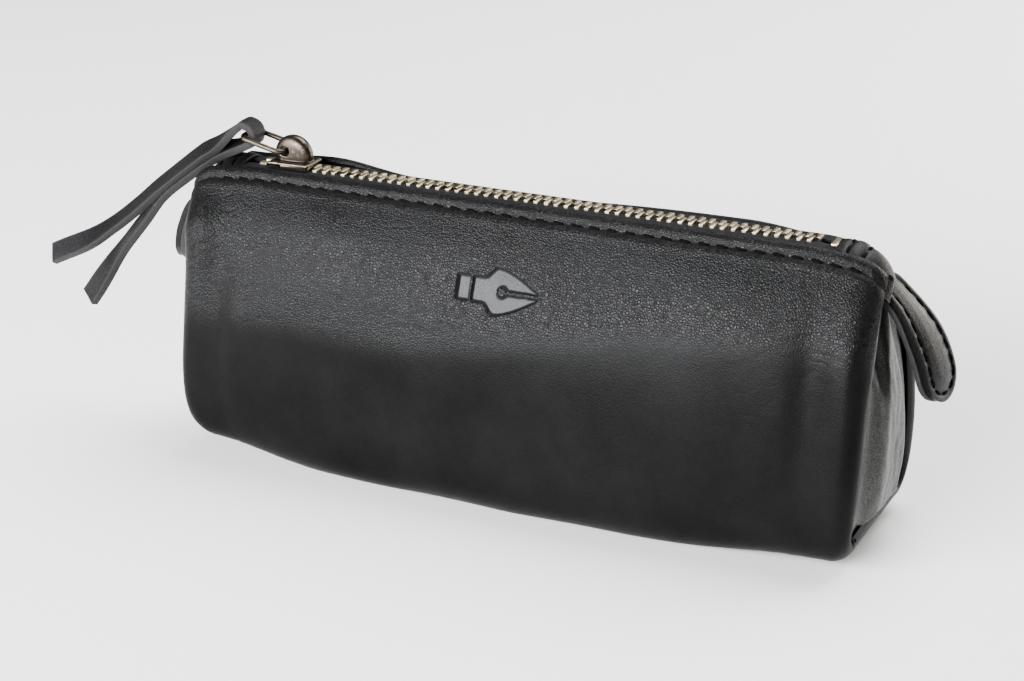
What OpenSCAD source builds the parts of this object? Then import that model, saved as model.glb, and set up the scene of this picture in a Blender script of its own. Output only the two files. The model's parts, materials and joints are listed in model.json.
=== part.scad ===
// Zip-top pen case in soft leather: one folded shell with a stitched hem on each side of
// the mouth, two set-in end panels, a cloth lining, a metal zip, and a doubled leather pull.
// The zip ends lie under leather caps, and a stitched tab hangs from each end.
// X runs along the case, Y from front to back, Z up. The origin is the middle of the base.

/* [Shell] */
// Length of the case from end to end
case_l = 200; // [160:1:250]
// Height of the hems at the mouth above the base
case_h = 80; // [60:1:95]
// Distance between the fullest points of the front and back walls
case_w = 57; // [48:1:70]
// Width of the flat part of the base
base_w = 38; // [24:1:42]
// Height of the fullest point of the walls
belly_z = 18; // [10:1:22]
// Thickness of the shell leather
shell_t = 1.4; // [1:0.1:1.8]
// Radius of the shell's upper corners in side view
corner_r = 6; // [2:0.5:9]
// Depth that the end panels are set in from the shell's ends
end_recess = 3; // [2:0.5:6]
// Thickness of the end panel leather
end_t = 1.4; // [1:0.1:2]
// Thickness of the lining cloth
lining_t = 0.5; // [0.3:0.1:0.7]

/* [Mouth] */
// Distance between the two hem edges across the mouth
mouth_w = 17; // [16:0.5:21]
// Width of the stitched hem band
hem_band = 5.5; // [4:0.5:8]
// Slope of the hem band from the horizontal, in degrees
hem_slope = 52; // [46:1:58]
// Distance of the stitch row from the hem edge
hem_stitch_in = 2.8; // [2:0.2:3.6]

/* [Zip] */
// Distance from one tooth to the next on one side
tooth_pitch = 2.9; // [2.4:0.1:3.4]
// Thickness of a tooth along the zip
tooth_t = 1.25; // [0.8:0.05:1.4]
// Height of a tooth
tooth_h = 2.4; // [2:0.1:3]
// How far a tooth head passes the middle of the zip
tooth_reach = 0.9; // [0.5:0.1:1]
// Width of a tooth from its head's middle line to its heel
tooth_heel = 2.9; // [2.4:0.1:3.2]
// Thickness of the zip tape
tape_t = 0.6; // [0.4:0.1:0.8]
// Distance of each tape's edge from the middle of the zip
tape_edge = 1.3; // [1.15:0.05:1.5]
// Distance of the closed slider's nose from the left end of the case
slider_set = 34.5; // [32:0.5:40]
// Distance of the bottom stop from the right end of the case
stop_set = 15.5; // [14.5:0.5:20]
// Length of the slider
slider_l = 12.5; // [11:0.5:14]
// Width of the slider at its divider end
slider_w = 9.6; // [9.2:0.1:10.4]
// Width of the slider at its nose
slider_nose_w = 8.4; // [8:0.1:9]
// Thickness of the slider's plates
slider_plate_t = 1.1; // [0.8:0.1:1.4]
// Height of the slider's bridge above its upper plate
bridge_h = 6.8; // [5.8:0.2:8]
// Length of the slider's bridge
bridge_l = 11.4; // [9:0.2:11.6]
// Width of the slider's bridge
bridge_w = 5.2; // [4:0.2:5.4]

/* [Pull] */
// Diameter of the ring's wire
ring_wire = 1.5; // [1:0.1:1.8]
// Length of the ring from the middle of one bar to the middle of the other
ring_l = 13.4; // [12:0.2:16]
// Width of the ring from middle to middle of its side wires
ring_w = 8.6; // [8:0.2:10]
// Rise of the ring from the bridge to its far bar, in degrees
ring_tilt = 13; // [8:1:20]
// Width of the leather pull
strap_w = 6; // [5:0.2:6.2]
// Thickness of the leather pull
strap_t = 2.1; // [1.6:0.1:2.3]
// Inner radius of the pull's loop round the ring
strap_loop_r = 1.9; // [1.5:0.1:2.4]
// Sideways turn of the pull from the zip's line, in degrees
strap_skew = 4; // [0:1:5]

/* [Caps and tabs] */
// Length of each cap over a zip end
cap_l = 14; // [12:1:18]
// Thickness of the cap leather
cap_t = 1.4; // [1:0.1:1.8]
// Gap between each side of a cap and the hem edge beside it
cap_gap = 1.3; // [1.3:0.1:3.5]
// Outer radius of the cap where it turns down over the end
cap_r = 12; // [8:1:14]
// Length of each hanging tab
tab_l = 31; // [24:1:36]
// Width of a tab at its widest
tab_w = 15; // [11:0.5:16]
// Width of a tab at its root
tab_root_w = 13; // [9:0.5:14]
// Thickness of a tab's outer leather
tab_face_t = 1.8; // [1.2:0.1:2.2]
// Thickness of a tab's inner leather
tab_back_t = 1.4; // [1:0.1:1.8]
// Angle of the left tab from hanging straight down, in degrees
tab_hang_left = 30; // [22:1:40]
// Angle of the right tab from hanging straight down, in degrees
tab_hang_right = 27; // [22:1:40]

/* [Stitching] */
// Diameter of the sewing thread
thread_d = 0.7; // [0.4:0.1:0.9]
// Distance from one stitch to the next along a seam
stitch_pitch = 5; // [3.5:0.5:6]
// Length of one stitch
stitch_l = 3.4; // [2.4:0.2:3.4]
// Distance of a tab's stitch row from its edge
tab_stitch_in = 2; // [1.6:0.2:2.4]

/* [Hidden] */
// gap between glued or sewn layers, and running gap of the slider on its tape and teeth
seam_gap = 0.05;
slide_gap = 0.15;
overcut = 1;
curve_steps = 14;
corner_steps = 7;
half_l = case_l / 2;
half_w = case_w / 2;
thread_sink = 0.05;

// the zip's middle plane lies level with the hems
zip_z = case_h;
tape_under = shell_t + seam_gap;
lining_in = tape_under + tape_t + seam_gap;
hem_edge = [mouth_w / 2, case_h];
hem_dir = [-cos(hem_slope), sin(hem_slope)];
hem_start = hem_edge - hem_band * hem_dir;
// length of the guide that sets how softly the walls run into the hem bands
wall_guide = 0.2 * case_h;
panel_x = half_l - end_recess - end_t;
tape_end = half_l - cap_l + 3;
flat_end = half_l - cap_r;

// chain and slider places along X
slider_nose_x = slider_set - half_l;
slider_back_x = slider_nose_x - slider_l;
stop_x = half_l - stop_set;
stop_l = 2;
chain_from = slider_back_x + 5.2;
chain_to = stop_x - stop_l / 2 - 0.6;
chain_count = floor((chain_to - chain_from) / tooth_pitch);
top_stop_x = slider_back_x - 2.4;
channel_h = tooth_h / 2 + slide_gap;
plate_top = channel_h + slider_plate_t;

// ring bar in the bridge, and the far bar that the pull hangs on
eye_x = slider_back_x + 4.5;
eye_z = zip_z + plate_top + 2.55;
eye_r = ring_wire / 2 + 0.5;
far_x = eye_x - ring_l * cos(ring_tilt);
far_z = eye_z + ring_l * sin(ring_tilt);
ring_bend = 2.5;

// the pull's centre line, relative to the far bar: tail tips, their middles, the split, the join
strap_mid_r = strap_loop_r + strap_t / 2;
strap_half_gap = strap_t / 2 + 0.1;
upper_tail = [[-66.5, -43.4], [-54, -37.5], [-45, -31.5], [-36.5, -25]];
lower_tail = [[-33.5, -27.5], [-39.5, -35], [-46, -43.5], [-54.5, -55]];
// points where the two layers lie together, each with the slope of the pull there
joined = [[-28.5, -19.5, 39], [-21, -13.3, 37], [-14, -8, 33], [-8.6, -4.8, 30]];
leave_angle = 30;
strap_steps = 3;

// tab hinge lines
hinge_x = half_l - cap_t / 2;
hinge_z = zip_z + tape_t / 2 + slide_gap + cap_t - cap_r - 0.4;
tab_drop = 1.2;

leather_black = [0.07, 0.07, 0.08];
leather_edge = [0.12, 0.11, 0.12];
lining_grey = [0.25, 0.24, 0.24];
tape_grey = [0.16, 0.16, 0.17];
old_brass = [0.45, 0.38, 0.24];
slider_brass = [0.27, 0.22, 0.17];
thread_black = [0.04, 0.04, 0.05];

// ---- curves ----
function reverse(list) = [for (i = [len(list) - 1:-1:0]) list[i]];
function flip_y(list) = [for (p = list) [-p[0], p[1]]];
function unit(v) = v / norm(v);
function bezier(p, t) = pow(1 - t, 3) * p[0] + 3 * t * pow(1 - t, 2) * p[1]
                        + 3 * t * t * (1 - t) * p[2] + pow(t, 3) * p[3];
function bezier_dir(p, t) = unit(pow(1 - t, 2) * (p[1] - p[0]) + 2 * t * (1 - t) * (p[2] - p[1])
                                 + t * t * (p[3] - p[2]));
// a point moved inwards, to the left of its direction of travel
function inward(p, d, off) = p + off * [-d[1], d[0]];

corner_curve = [[base_w / 2, 0], [base_w / 2 + 0.55 * (half_w - base_w / 2), 0],
                [half_w, 0.45 * belly_z], [half_w, belly_z]];
wall_curve = [[half_w, belly_z], [half_w, belly_z + 0.28 * (hem_start[1] - belly_z)],
              hem_start - wall_guide * hem_dir, hem_start];

// half of the shell's section at a depth below its outer face, from the base to the wall's top
function wall_line(off) = concat(
    [for (i = [0:corner_steps]) let (t = i / corner_steps)
        inward(bezier(corner_curve, t), bezier_dir(corner_curve, t), off)],
    [for (i = [1:curve_steps]) let (t = i / curve_steps)
        inward(bezier(wall_curve, t), bezier_dir(wall_curve, t), off)]);
function hem_line(off) = [inward(hem_start, hem_dir, off), inward(hem_edge, hem_dir, off)];
function shell_line(off) = concat(wall_line(off), [hem_line(off)[1]]);
// a whole open section from the front edge round the base to the back edge
function both_sides(half) = concat(flip_y(reverse(half)), half);

// a polygon of even thickness along a line
function line_dir(pts, i) = unit(pts[min(i + 1, len(pts) - 1)] - pts[max(i - 1, 0)]);
function ribbon(pts, t) = concat(
    [for (i = [0:len(pts) - 1]) inward(pts[i], line_dir(pts, i), t / 2)],
    [for (i = [len(pts) - 1:-1:0]) inward(pts[i], line_dir(pts, i), -t / 2)]);

// ---- shared shapes ----
// a section in the YZ plane drawn out along X
module along_x(x0, x1) {
    translate([x0, 0, 0]) rotate([90, 0, 90]) linear_extrude(x1 - x0) children();
}

// an outline in the XZ plane drawn out evenly about the middle of Y
module across_y(width) {
    translate([0, width / 2, 0]) rotate([90, 0, 0]) linear_extrude(width) children();
}

module thread_x(length) {
    rotate([0, 90, 0]) cylinder(d = thread_d, h = length, center = true, $fn = 8);
}

module thread_y(length) {
    rotate([90, 0, 0]) cylinder(d = thread_d, h = length, center = true, $fn = 8);
}

// what is cut from one upper corner of the shell; side is -1 at the left and 1 at the right
module corner_cut(side) {
    size = corner_r + overcut;
    translate([side * (half_l - corner_r), 0, case_h - corner_r])
        difference() {
            translate([side > 0 ? 0 : -size, -half_w, 0]) cube([size, case_w, size]);
            rotate([90, 0, 0]) cylinder(r = corner_r, h = case_w + 2, center = true, $fn = 64);
        }
}

// ---- shell, end panels and lining ----
module body_wrap() {
    color(leather_black)
        difference() {
            along_x(-half_l, half_l)
                polygon(concat(both_sides(shell_line(0)), reverse(both_sides(shell_line(shell_t)))));
            corner_cut(-1);
            corner_cut(1);
        }
}

module end_panel(x0) {
    color(leather_black) along_x(x0, x0 + end_t) polygon(both_sides(wall_line(shell_t + seam_gap)));
}

module end_panel_left() { end_panel(-panel_x - end_t); }
module end_panel_right() { end_panel(panel_x); }

module lining_body() {
    reach = panel_x - 2 * seam_gap - lining_t;
    color(lining_grey)
        along_x(-reach, reach)
            polygon(concat(both_sides(wall_line(lining_in)),
                           reverse(both_sides(wall_line(lining_in + lining_t)))));
}

module lining_end(x0) {
    color(lining_grey) along_x(x0, x0 + lining_t) polygon(both_sides(wall_line(lining_in)));
}

module lining_end_left() { lining_end(-panel_x + seam_gap); }
module lining_end_right() { lining_end(panel_x - seam_gap - lining_t); }

// ---- zip ----
// middle line of the back tape, from the wall's top up the hem and flat to the tape's edge
tape_mid = tape_under + tape_t / 2;
tape_turn = [hem_line(tape_mid)[1], hem_line(tape_mid)[1] + 0.7 * hem_dir,
             [slider_w / 2 + 1.2, zip_z], [slider_w / 2 + 0.5, zip_z]];
tape_line = concat([hem_line(tape_mid)[0]], [for (i = [0:6]) bezier(tape_turn, i / 6)],
                   [[tape_edge, zip_z]]);

module zip_tape_back() {
    color(tape_grey) along_x(-tape_end, tape_end) polygon(ribbon(tape_line, tape_t));
}

module zip_tape_front() { mirror([0, 1, 0]) zip_tape_back(); }

// section of a tooth of the back row: two jaws on the tape and a head past the middle
function jaw_section(reach) = let (h = tooth_h / 2, slot = tape_t / 2 + seam_gap)
    [[tooth_heel, slot], [tooth_heel, h - 0.3], [tooth_heel - 0.3, h], [0.3 - reach, h],
     [-reach, h - 0.5], [-reach, 0.5 - h], [0.3 - reach, -h], [tooth_heel - 0.3, -h],
     [tooth_heel, 0.3 - h], [tooth_heel, -slot], [tape_edge - seam_gap, -slot],
     [tape_edge - seam_gap, slot]];

module tooth_row(first_x) {
    for (i = [0:chain_count - 1])
        translate([first_x + i * tooth_pitch, 0, zip_z])
            along_x(-tooth_t / 2, tooth_t / 2) polygon(jaw_section(tooth_reach));
}

module zip_teeth_back() { color(old_brass) tooth_row(chain_from + tooth_pitch / 2); }

module zip_teeth_front() { color(old_brass) mirror([0, 1, 0]) tooth_row(chain_from); }

module zip_top_stop_back() {
    color(old_brass)
        translate([top_stop_x, 0, zip_z]) along_x(-1.1, 1.1) polygon(jaw_section(-tape_edge / 2));
}

module zip_top_stop_front() { mirror([0, 1, 0]) zip_top_stop_back(); }

// one clasp across both tapes
module zip_bottom_stop() {
    upper = [[tooth_heel, tape_t / 2 + seam_gap], [tooth_heel, tooth_h / 2],
             [-tooth_heel, tooth_h / 2], [-tooth_heel, tape_t / 2 + seam_gap]];
    color(old_brass)
        translate([stop_x, 0, zip_z]) {
            along_x(-stop_l / 2, stop_l / 2) polygon(upper);
            mirror([0, 0, 1]) along_x(-stop_l / 2, stop_l / 2) polygon(upper);
            cube([stop_l, 2 * (tape_edge - seam_gap), tooth_h], center = true);
        }
}

// ---- slider, ring and pull ----
// plan of a slider plate, wide over the divider and narrower at the nose
slider_plan = [[slider_back_x + 0.8, -slider_w / 2], [slider_back_x + 6, -slider_w / 2],
               [slider_nose_x - 0.8, -slider_nose_w / 2], [slider_nose_x, -slider_nose_w / 2 + 0.8],
               [slider_nose_x, slider_nose_w / 2 - 0.8], [slider_nose_x - 0.8, slider_nose_w / 2],
               [slider_back_x + 6, slider_w / 2], [slider_back_x + 0.8, slider_w / 2],
               [slider_back_x, slider_w / 2 - 0.8], [slider_back_x, -slider_w / 2 + 0.8]];
flange_w = 0.8;
tape_slot = tape_t / 2 + slide_gap;

module slider_plate(z0) {
    translate([0, 0, z0]) linear_extrude(slider_plate_t) polygon(slider_plan);
}

// one side rail between a plate and the tape, following the plan's edge
module slider_rail(z0, z1) {
    translate([0, 0, z0])
        linear_extrude(z1 - z0)
            polygon([[slider_back_x + 0.8, slider_w / 2], [slider_back_x + 6, slider_w / 2],
                     [slider_nose_x - 0.8, slider_nose_w / 2],
                     [slider_nose_x - 0.8, slider_nose_w / 2 - flange_w],
                     [slider_back_x + 6, slider_w / 2 - flange_w],
                     [slider_back_x + 0.8, slider_w / 2 - flange_w]]);
}

// the bridge's side view is half an oval, and its end view has rounded shoulders
bridge_mid = slider_back_x + 6.1;
bridge_side = [for (i = [0:20]) let (a = 180 * i / 20)
    [bridge_mid + bridge_l / 2 * cos(a), zip_z + plate_top + bridge_h * pow(sin(a), 0.8)]];
bridge_end = concat(
    [[-bridge_w / 2, 0]],
    [for (i = [0:8]) let (a = 180 - 180 * i / 8)
        [bridge_w / 2 * cos(a), bridge_h - bridge_w / 2 + bridge_w / 2 * sin(a)]],
    [[bridge_w / 2, 0]]);

module slider_body() {
    color(slider_brass) {
        translate([0, 0, zip_z]) {
            slider_plate(channel_h);
            slider_plate(-plate_top);
            for (side = [0, 1]) {
                mirror([0, side, 0]) {
                    slider_rail(tape_slot, channel_h);
                    slider_rail(-channel_h, -tape_slot);
                }
            }
            // divider between the two rows of teeth
            translate([slider_back_x + 1.9, 0, 0])
                cylinder(r = 1, h = 2 * channel_h, center = true, $fn = 32);
        }
        difference() {
            intersection() {
                across_y(bridge_w) polygon(bridge_side);
                translate([0, 0, zip_z + plate_top])
                    along_x(slider_back_x, slider_nose_x) polygon(bridge_end);
            }
            translate([eye_x, 0, eye_z])
                rotate([90, 0, 0]) cylinder(r = eye_r, h = bridge_w + 2, center = true, $fn = 48);
        }
    }
}

// ring in its own plane: bars along Y, the near bar on the origin, the ring towards -X
module flat_ring() {
    side_l = ring_l - 2 * ring_bend;
    bar_l = ring_w - 2 * ring_bend;
    for (x = [0, -ring_l])
        translate([x, 0, 0])
            rotate([90, 0, 0]) cylinder(d = ring_wire, h = bar_l, center = true, $fn = 32);
    for (side = [-1, 1])
        translate([-ring_l / 2, side * ring_w / 2, 0])
            rotate([0, 90, 0]) cylinder(d = ring_wire, h = side_l, center = true, $fn = 32);
    for (turn = [0:3])
        translate([turn == 0 || turn == 3 ? -ring_bend : ring_bend - ring_l,
                   (turn < 2 ? 1 : -1) * (ring_w / 2 - ring_bend), 0])
            rotate([0, 0, 90 * turn])
                rotate_extrude(angle = 90, $fn = 48)
                    translate([ring_bend, 0]) circle(d = ring_wire, $fn = 32);
}

module puller_ring() {
    color(slider_brass)
        translate([eye_x, 0, eye_z]) rotate([0, ring_tilt, 0]) flat_ring();
}

// the pull's layers: side is 1 for the upper one and -1 for the lower one
function layer_points(side) = [for (j = joined)
    [j[0], j[1]] + side * strap_half_gap * [-sin(j[2]), cos(j[2])]];
loop_points = [for (i = [0:6]) let (a = 90 + leave_angle - 30 * i) strap_mid_r * [cos(a), sin(a)]];
strap_route = concat(upper_tail, layer_points(1), loop_points, reverse(layer_points(-1)), lower_tail);

// a smooth line through points, with steps between each two of them
function passing(p0, p1, p2, p3, t) = 0.5 * (2 * p1 + (p2 - p0) * t
    + (2 * p0 - 5 * p1 + 4 * p2 - p3) * t * t + (3 * p1 - p0 - 3 * p2 + p3) * t * t * t);
function smooth(pts, n) = let (last = len(pts) - 1) concat(
    [for (i = [0:last - 1]) for (k = [0:n - 1])
        passing(pts[max(i - 1, 0)], pts[i], pts[i + 1], pts[min(i + 2, last)], k / n)],
    [pts[last]]);

// a flat strip swept along a line in the XZ plane
module strip(pts, width, t) {
    n = len(pts);
    corners = [for (i = [0:n - 1]) let (d = line_dir(pts, i), up = inward(pts[i], d, t / 2),
                                        down = inward(pts[i], d, -t / 2))
        for (c = [[up, -1], [up, 1], [down, 1], [down, -1]])
            [c[0][0], c[1] * width / 2, c[0][1]]];
    sides = [for (i = [0:n - 2]) for (k = [0:3])
        [4 * i + k, 4 * i + (k + 1) % 4, 4 * i + 4 + (k + 1) % 4, 4 * i + 4 + k]];
    polyhedron(corners, concat([[3, 2, 1, 0]], sides, [[for (k = [0:3]) 4 * (n - 1) + k]]),
               convexity = 6);
}

module pull_strap() {
    color(leather_black)
        translate([far_x, 0, far_z])
            rotate([0, 0, strap_skew]) strip(smooth(strap_route, strap_steps), strap_w, strap_t);
}

// ---- caps and tabs ----
cap_w = mouth_w - 2 * cap_gap;
cap_under = zip_z + tape_t / 2 + slide_gap;
cap_mid_r = cap_r - cap_t / 2;
// middle line of the right cap in side view, from over the tape to the turned-down end
cap_line = concat([[half_l - cap_l, cap_under + cap_t / 2]],
    [for (i = [0:12]) let (a = 90 - 90 * i / 12)
        [flat_end, cap_under + cap_t - cap_r] + cap_mid_r * [cos(a), sin(a)]]);

module cap_right() { color(leather_black) across_y(cap_w) polygon(ribbon(cap_line, cap_t)); }
module cap_left() { mirror([1, 0, 0]) cap_right(); }

// two rows of stitches across a cap
cap_row_in = [3, 8];
module cap_stitches_right() {
    rest = thread_d / 2 - thread_sink;
    color(thread_black)
        for (row = cap_row_in)
            for (k = [-1:1]) {
                x = half_l - cap_l + row;
                bend = max(0, x - flat_end);
                z = cap_under + cap_t - cap_r + sqrt(pow(cap_r + rest, 2) - bend * bend);
                translate([x, k * (stitch_l + 1), z]) thread_y(stitch_l);
            }
}

module cap_stitches_left() { mirror([1, 0, 0]) cap_stitches_right(); }

// outline of a tab hanging down from the origin: a narrow root and a round tip
tab_tip_r = tab_w / 2;
function tab_outline(inset) = let (r = tab_tip_r - inset, w = tab_root_w / 2 - inset) concat(
    [[-tab_drop - inset, -w]],
    [for (i = [0:16]) let (a = 270 - 180 * i / 16) [tab_tip_r - tab_l, 0] + r * [cos(a), sin(a)]],
    [[-tab_drop - inset, w]]);

// a layer of a tab in its own hanging place, from t0 to t1 in front of the hinge plane
module tab_layer(t0, t1) {
    rotate([0, 90, 0])
        mirror([1, 0, 0]) translate([0, 0, t0]) linear_extrude(t1 - t0) polygon(tab_outline(0));
}

module hang_right(angle) {
    translate([hinge_x, 0, hinge_z]) rotate([0, -angle, 0]) children();
}

module hang_left(angle) { mirror([1, 0, 0]) hang_right(angle) children(); }

tab_split = (tab_back_t - tab_face_t) / 2;
module tab_face() {
    color(leather_black) tab_layer(tab_split + seam_gap / 2, tab_split + tab_face_t);
}

module tab_backing() {
    color(leather_edge) tab_layer(tab_split - tab_back_t, tab_split - seam_gap / 2);
}

// one thread along each stretch of the tab's stitch row, which runs down, round and up again
module tab_stitches() {
    row = tab_outline(tab_stitch_in);
    side_n = floor(norm(row[1] - row[0]) / stitch_pitch);
    x = tab_split + tab_face_t + thread_d / 2 - thread_sink;
    color(thread_black) {
        for (side = [-1, 1])
            for (i = [0:side_n - 1]) {
                from = side < 0 ? row[0] : row[len(row) - 1];
                to = side < 0 ? row[1] : row[len(row) - 2];
                p = from + (i + 0.5) / side_n * (to - from);
                slope = atan2(p[1] - from[1], from[0] - p[0]);
                translate([x, p[1], p[0]]) rotate([slope, 0, 0]) rotate([0, 90, 0]) thread_x(stitch_l);
            }
        for (i = [-2:2])
            translate([x, 0, tab_tip_r - tab_l])
                rotate([36 * i, 0, 0])
                    translate([0, 0, tab_stitch_in - tab_tip_r]) thread_y(stitch_l * 0.85);
    }
}

module tab_face_right() { hang_right(tab_hang_right) tab_face(); }
module tab_face_left() { hang_left(tab_hang_left) tab_face(); }
module tab_backing_right() { hang_right(tab_hang_right) tab_backing(); }
module tab_backing_left() { hang_left(tab_hang_left) tab_backing(); }
module tab_stitches_right() { hang_right(tab_hang_right) tab_stitches(); }
module tab_stitches_left() { hang_left(tab_hang_left) tab_stitches(); }

// ---- hem stitches ----
module topstitch_back() {
    seat = inward(hem_edge - hem_stitch_in * hem_dir, hem_dir, thread_sink - thread_d / 2);
    row_l = case_l - 2 * corner_r - stitch_pitch;
    count = floor(row_l / stitch_pitch);
    color(thread_black)
        for (i = [0:count])
            translate([(i - count / 2) * stitch_pitch, seat[0], seat[1]]) thread_x(stitch_l);
}

module topstitch_front() { mirror([0, 1, 0]) topstitch_back(); }

body_wrap();
end_panel_left();
end_panel_right();
lining_body();
lining_end_left();
lining_end_right();
zip_tape_front();
zip_tape_back();
zip_teeth_front();
zip_teeth_back();
zip_top_stop_front();
zip_top_stop_back();
zip_bottom_stop();
slider_body();
puller_ring();
pull_strap();
cap_left();
cap_right();
tab_face_left();
tab_face_right();
tab_backing_left();
tab_backing_right();
topstitch_front();
topstitch_back();
cap_stitches_left();
cap_stitches_right();
tab_stitches_left();
tab_stitches_right();
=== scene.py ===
"""A zip-top leather pen case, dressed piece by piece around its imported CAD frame.

Sizes are in millimetres until a mesh is stored, and metres from there on. X runs along the
zip, Y from the front wall to the back wall, and Z up from the base that the case stands on.
"""

import json
import logging
import math
from collections.abc import Callable, Iterable
from dataclasses import dataclass, field
from enum import Enum

import bpy
import numpy as np
from mathutils import Matrix, Vector, noise


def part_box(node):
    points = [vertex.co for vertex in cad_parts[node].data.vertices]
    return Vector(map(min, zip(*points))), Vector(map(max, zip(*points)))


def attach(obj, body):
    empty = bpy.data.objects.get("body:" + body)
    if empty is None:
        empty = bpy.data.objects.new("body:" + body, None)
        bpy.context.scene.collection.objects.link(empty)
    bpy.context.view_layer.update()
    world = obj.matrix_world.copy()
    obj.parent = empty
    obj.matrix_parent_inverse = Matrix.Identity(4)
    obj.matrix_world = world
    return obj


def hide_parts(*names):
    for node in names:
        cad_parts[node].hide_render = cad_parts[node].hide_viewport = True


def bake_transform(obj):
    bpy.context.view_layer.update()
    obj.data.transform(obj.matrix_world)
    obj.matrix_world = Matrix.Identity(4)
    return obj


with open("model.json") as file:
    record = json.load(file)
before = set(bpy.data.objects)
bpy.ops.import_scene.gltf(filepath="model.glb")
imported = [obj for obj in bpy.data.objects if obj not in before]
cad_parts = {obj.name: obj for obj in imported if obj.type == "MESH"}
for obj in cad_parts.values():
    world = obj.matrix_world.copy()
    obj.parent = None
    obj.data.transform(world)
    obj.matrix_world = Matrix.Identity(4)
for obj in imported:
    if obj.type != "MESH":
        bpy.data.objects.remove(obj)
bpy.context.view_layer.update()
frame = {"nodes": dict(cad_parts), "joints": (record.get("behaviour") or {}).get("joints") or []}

LOG = logging.getLogger("pen_case")
MM = 0.001
Place = Callable[[np.ndarray, np.ndarray], np.ndarray]


class Side(Enum):
    """The two long walls of the case, by the sign of their Y."""

    FRONT = -1
    BACK = 1


class End(Enum):
    """The two ends of the case, by the sign of their X."""

    LEFT = -1
    RIGHT = 1


# ---------------------------------------------------------------- small tools


def smooth_step(value: np.ndarray | float) -> np.ndarray:
    """Returns an even rise from 0 to 1 as value goes from 0 to 1."""
    t = np.clip(value, 0.0, 1.0)
    return t * t * (3.0 - 2.0 * t)


def hump(value: np.ndarray, middle: float, reach: float) -> np.ndarray:
    """Returns a soft hump of height 1 at middle that dies away over reach."""
    return np.exp(-(((value - middle) / reach) ** 2))


def box_mm(node: str) -> tuple[np.ndarray, np.ndarray]:
    """Returns the lowest and highest corners of a CAD node in millimetres."""
    low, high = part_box(node)
    return np.array(low) / MM, np.array(high) / MM


def spaced(cells: Iterable[tuple[float, float, int]]) -> np.ndarray:
    """Lines up grid positions with a closeness of their own in each stretch.

    Args:
        cells: the start, end and number of cells of each stretch, end to end.

    Returns:
        Every grid position in order.
    """
    stretches = [np.linspace(a, b, n + 1)[:-1] for a, b, n in cells]
    return np.concatenate(stretches + [[list(cells)[-1][1]]])


def passing_line(points: list[tuple[float, ...]], steps: int = 8) -> np.ndarray:
    """Draws a smooth line through points.

    Args:
        points: the points that the line passes, in order.
        steps: how many short pieces lie between two of them.

    Returns:
        The line's points, one row each.
    """
    p = np.array(points, float)
    padded = np.vstack([2 * p[0] - p[1], p, 2 * p[-1] - p[-2]])
    rows = []
    for i in range(1, len(padded) - 2):
        a, b, c, d = padded[i - 1 : i + 3]
        for t in np.linspace(0, 1, steps, endpoint=False):
            rows.append(
                0.5 * (2 * b + (c - a) * t + (2 * a - 5 * b + 4 * c - d) * t**2
                       + (3 * b - a - 3 * c + d) * t**3)
            )
    return np.array(rows + [p[-1]])


@dataclass(frozen=True)
class Line:
    """A line in a plane, read by the length along it."""

    points: np.ndarray

    @property
    def reach(self) -> np.ndarray:
        """The length from the line's start to each of its points."""
        steps = np.linalg.norm(np.diff(self.points, axis=0), axis=1)
        return np.concatenate([[0.0], np.cumsum(steps)])

    @property
    def length(self) -> float:
        """The line's whole length."""
        return float(self.reach[-1])

    def at(self, distance: np.ndarray) -> np.ndarray:
        """Returns the points at distances along the line."""
        reach = self.reach
        return np.stack([np.interp(distance, reach, c) for c in self.points.T], axis=-1)

    def direction(self, distance: np.ndarray) -> np.ndarray:
        """Returns the line's unit direction at distances along it."""
        step = 0.4
        ahead = self.at(np.minimum(distance + step, self.length))
        behind = self.at(np.maximum(distance - step, 0.0))
        way = ahead - behind
        return way / np.maximum(np.linalg.norm(way, axis=-1, keepdims=True), 1e-9)


def ripple(x: np.ndarray, y: np.ndarray, size: float, seed: float) -> np.ndarray:
    """Returns even, smooth noise from -1 to 1 over a surface, the same on each run."""
    flat = np.stack([np.ravel(x) / size, np.ravel(y) / size], axis=1)
    found = [noise.noise(Vector((a, b, seed))) for a, b in flat]
    return np.array(found).reshape(np.shape(x))


# ---------------------------------------------------------------- mesh work


def alone(piece: bpy.types.Object) -> None:
    """Makes a piece the only one selected and the active one."""
    bpy.ops.object.select_all(action="DESELECT")
    piece.select_set(True)
    bpy.context.view_layer.objects.active = piece


def read_points(piece: bpy.types.Object) -> np.ndarray:
    """Returns a piece's vertices in millimetres."""
    flat = np.empty(len(piece.data.vertices) * 3)
    piece.data.vertices.foreach_get("co", flat)
    return flat.reshape(-1, 3) / MM


def write_points(piece: bpy.types.Object, points: np.ndarray) -> None:
    """Stores a piece's vertices, given in millimetres."""
    piece.data.vertices.foreach_set("co", (points * MM).ravel())
    piece.data.update()


def modify(piece: bpy.types.Object, kind: str, **settings: object) -> None:
    """Adds a modifier to a piece and applies it at once.

    Args:
        piece: the piece to finish.
        kind: Blender's name for the modifier's type.
        settings: the modifier's own values.
    """
    alone(piece)
    modifier = piece.modifiers.new(kind.title(), kind)
    for name, value in settings.items():
        setattr(modifier, name, value)
    bpy.ops.object.modifier_apply(modifier=modifier.name)


def edit(piece: bpy.types.Object, keep: Callable[[Vector], bool] | None = None) -> None:
    """Opens a piece in edit mode with some of its vertices selected.

    Args:
        piece: the piece to shape.
        keep: says by place, in metres, which vertices are selected; all of them if None.
    """
    alone(piece)
    bpy.ops.object.mode_set(mode="EDIT")
    bpy.ops.mesh.select_mode(type="VERT")
    bpy.ops.mesh.select_all(action="DESELECT")
    bpy.ops.object.mode_set(mode="OBJECT")
    for vertex in piece.data.vertices:
        vertex.select = keep is None or keep(vertex.co)
    bpy.ops.object.mode_set(mode="EDIT")


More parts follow.
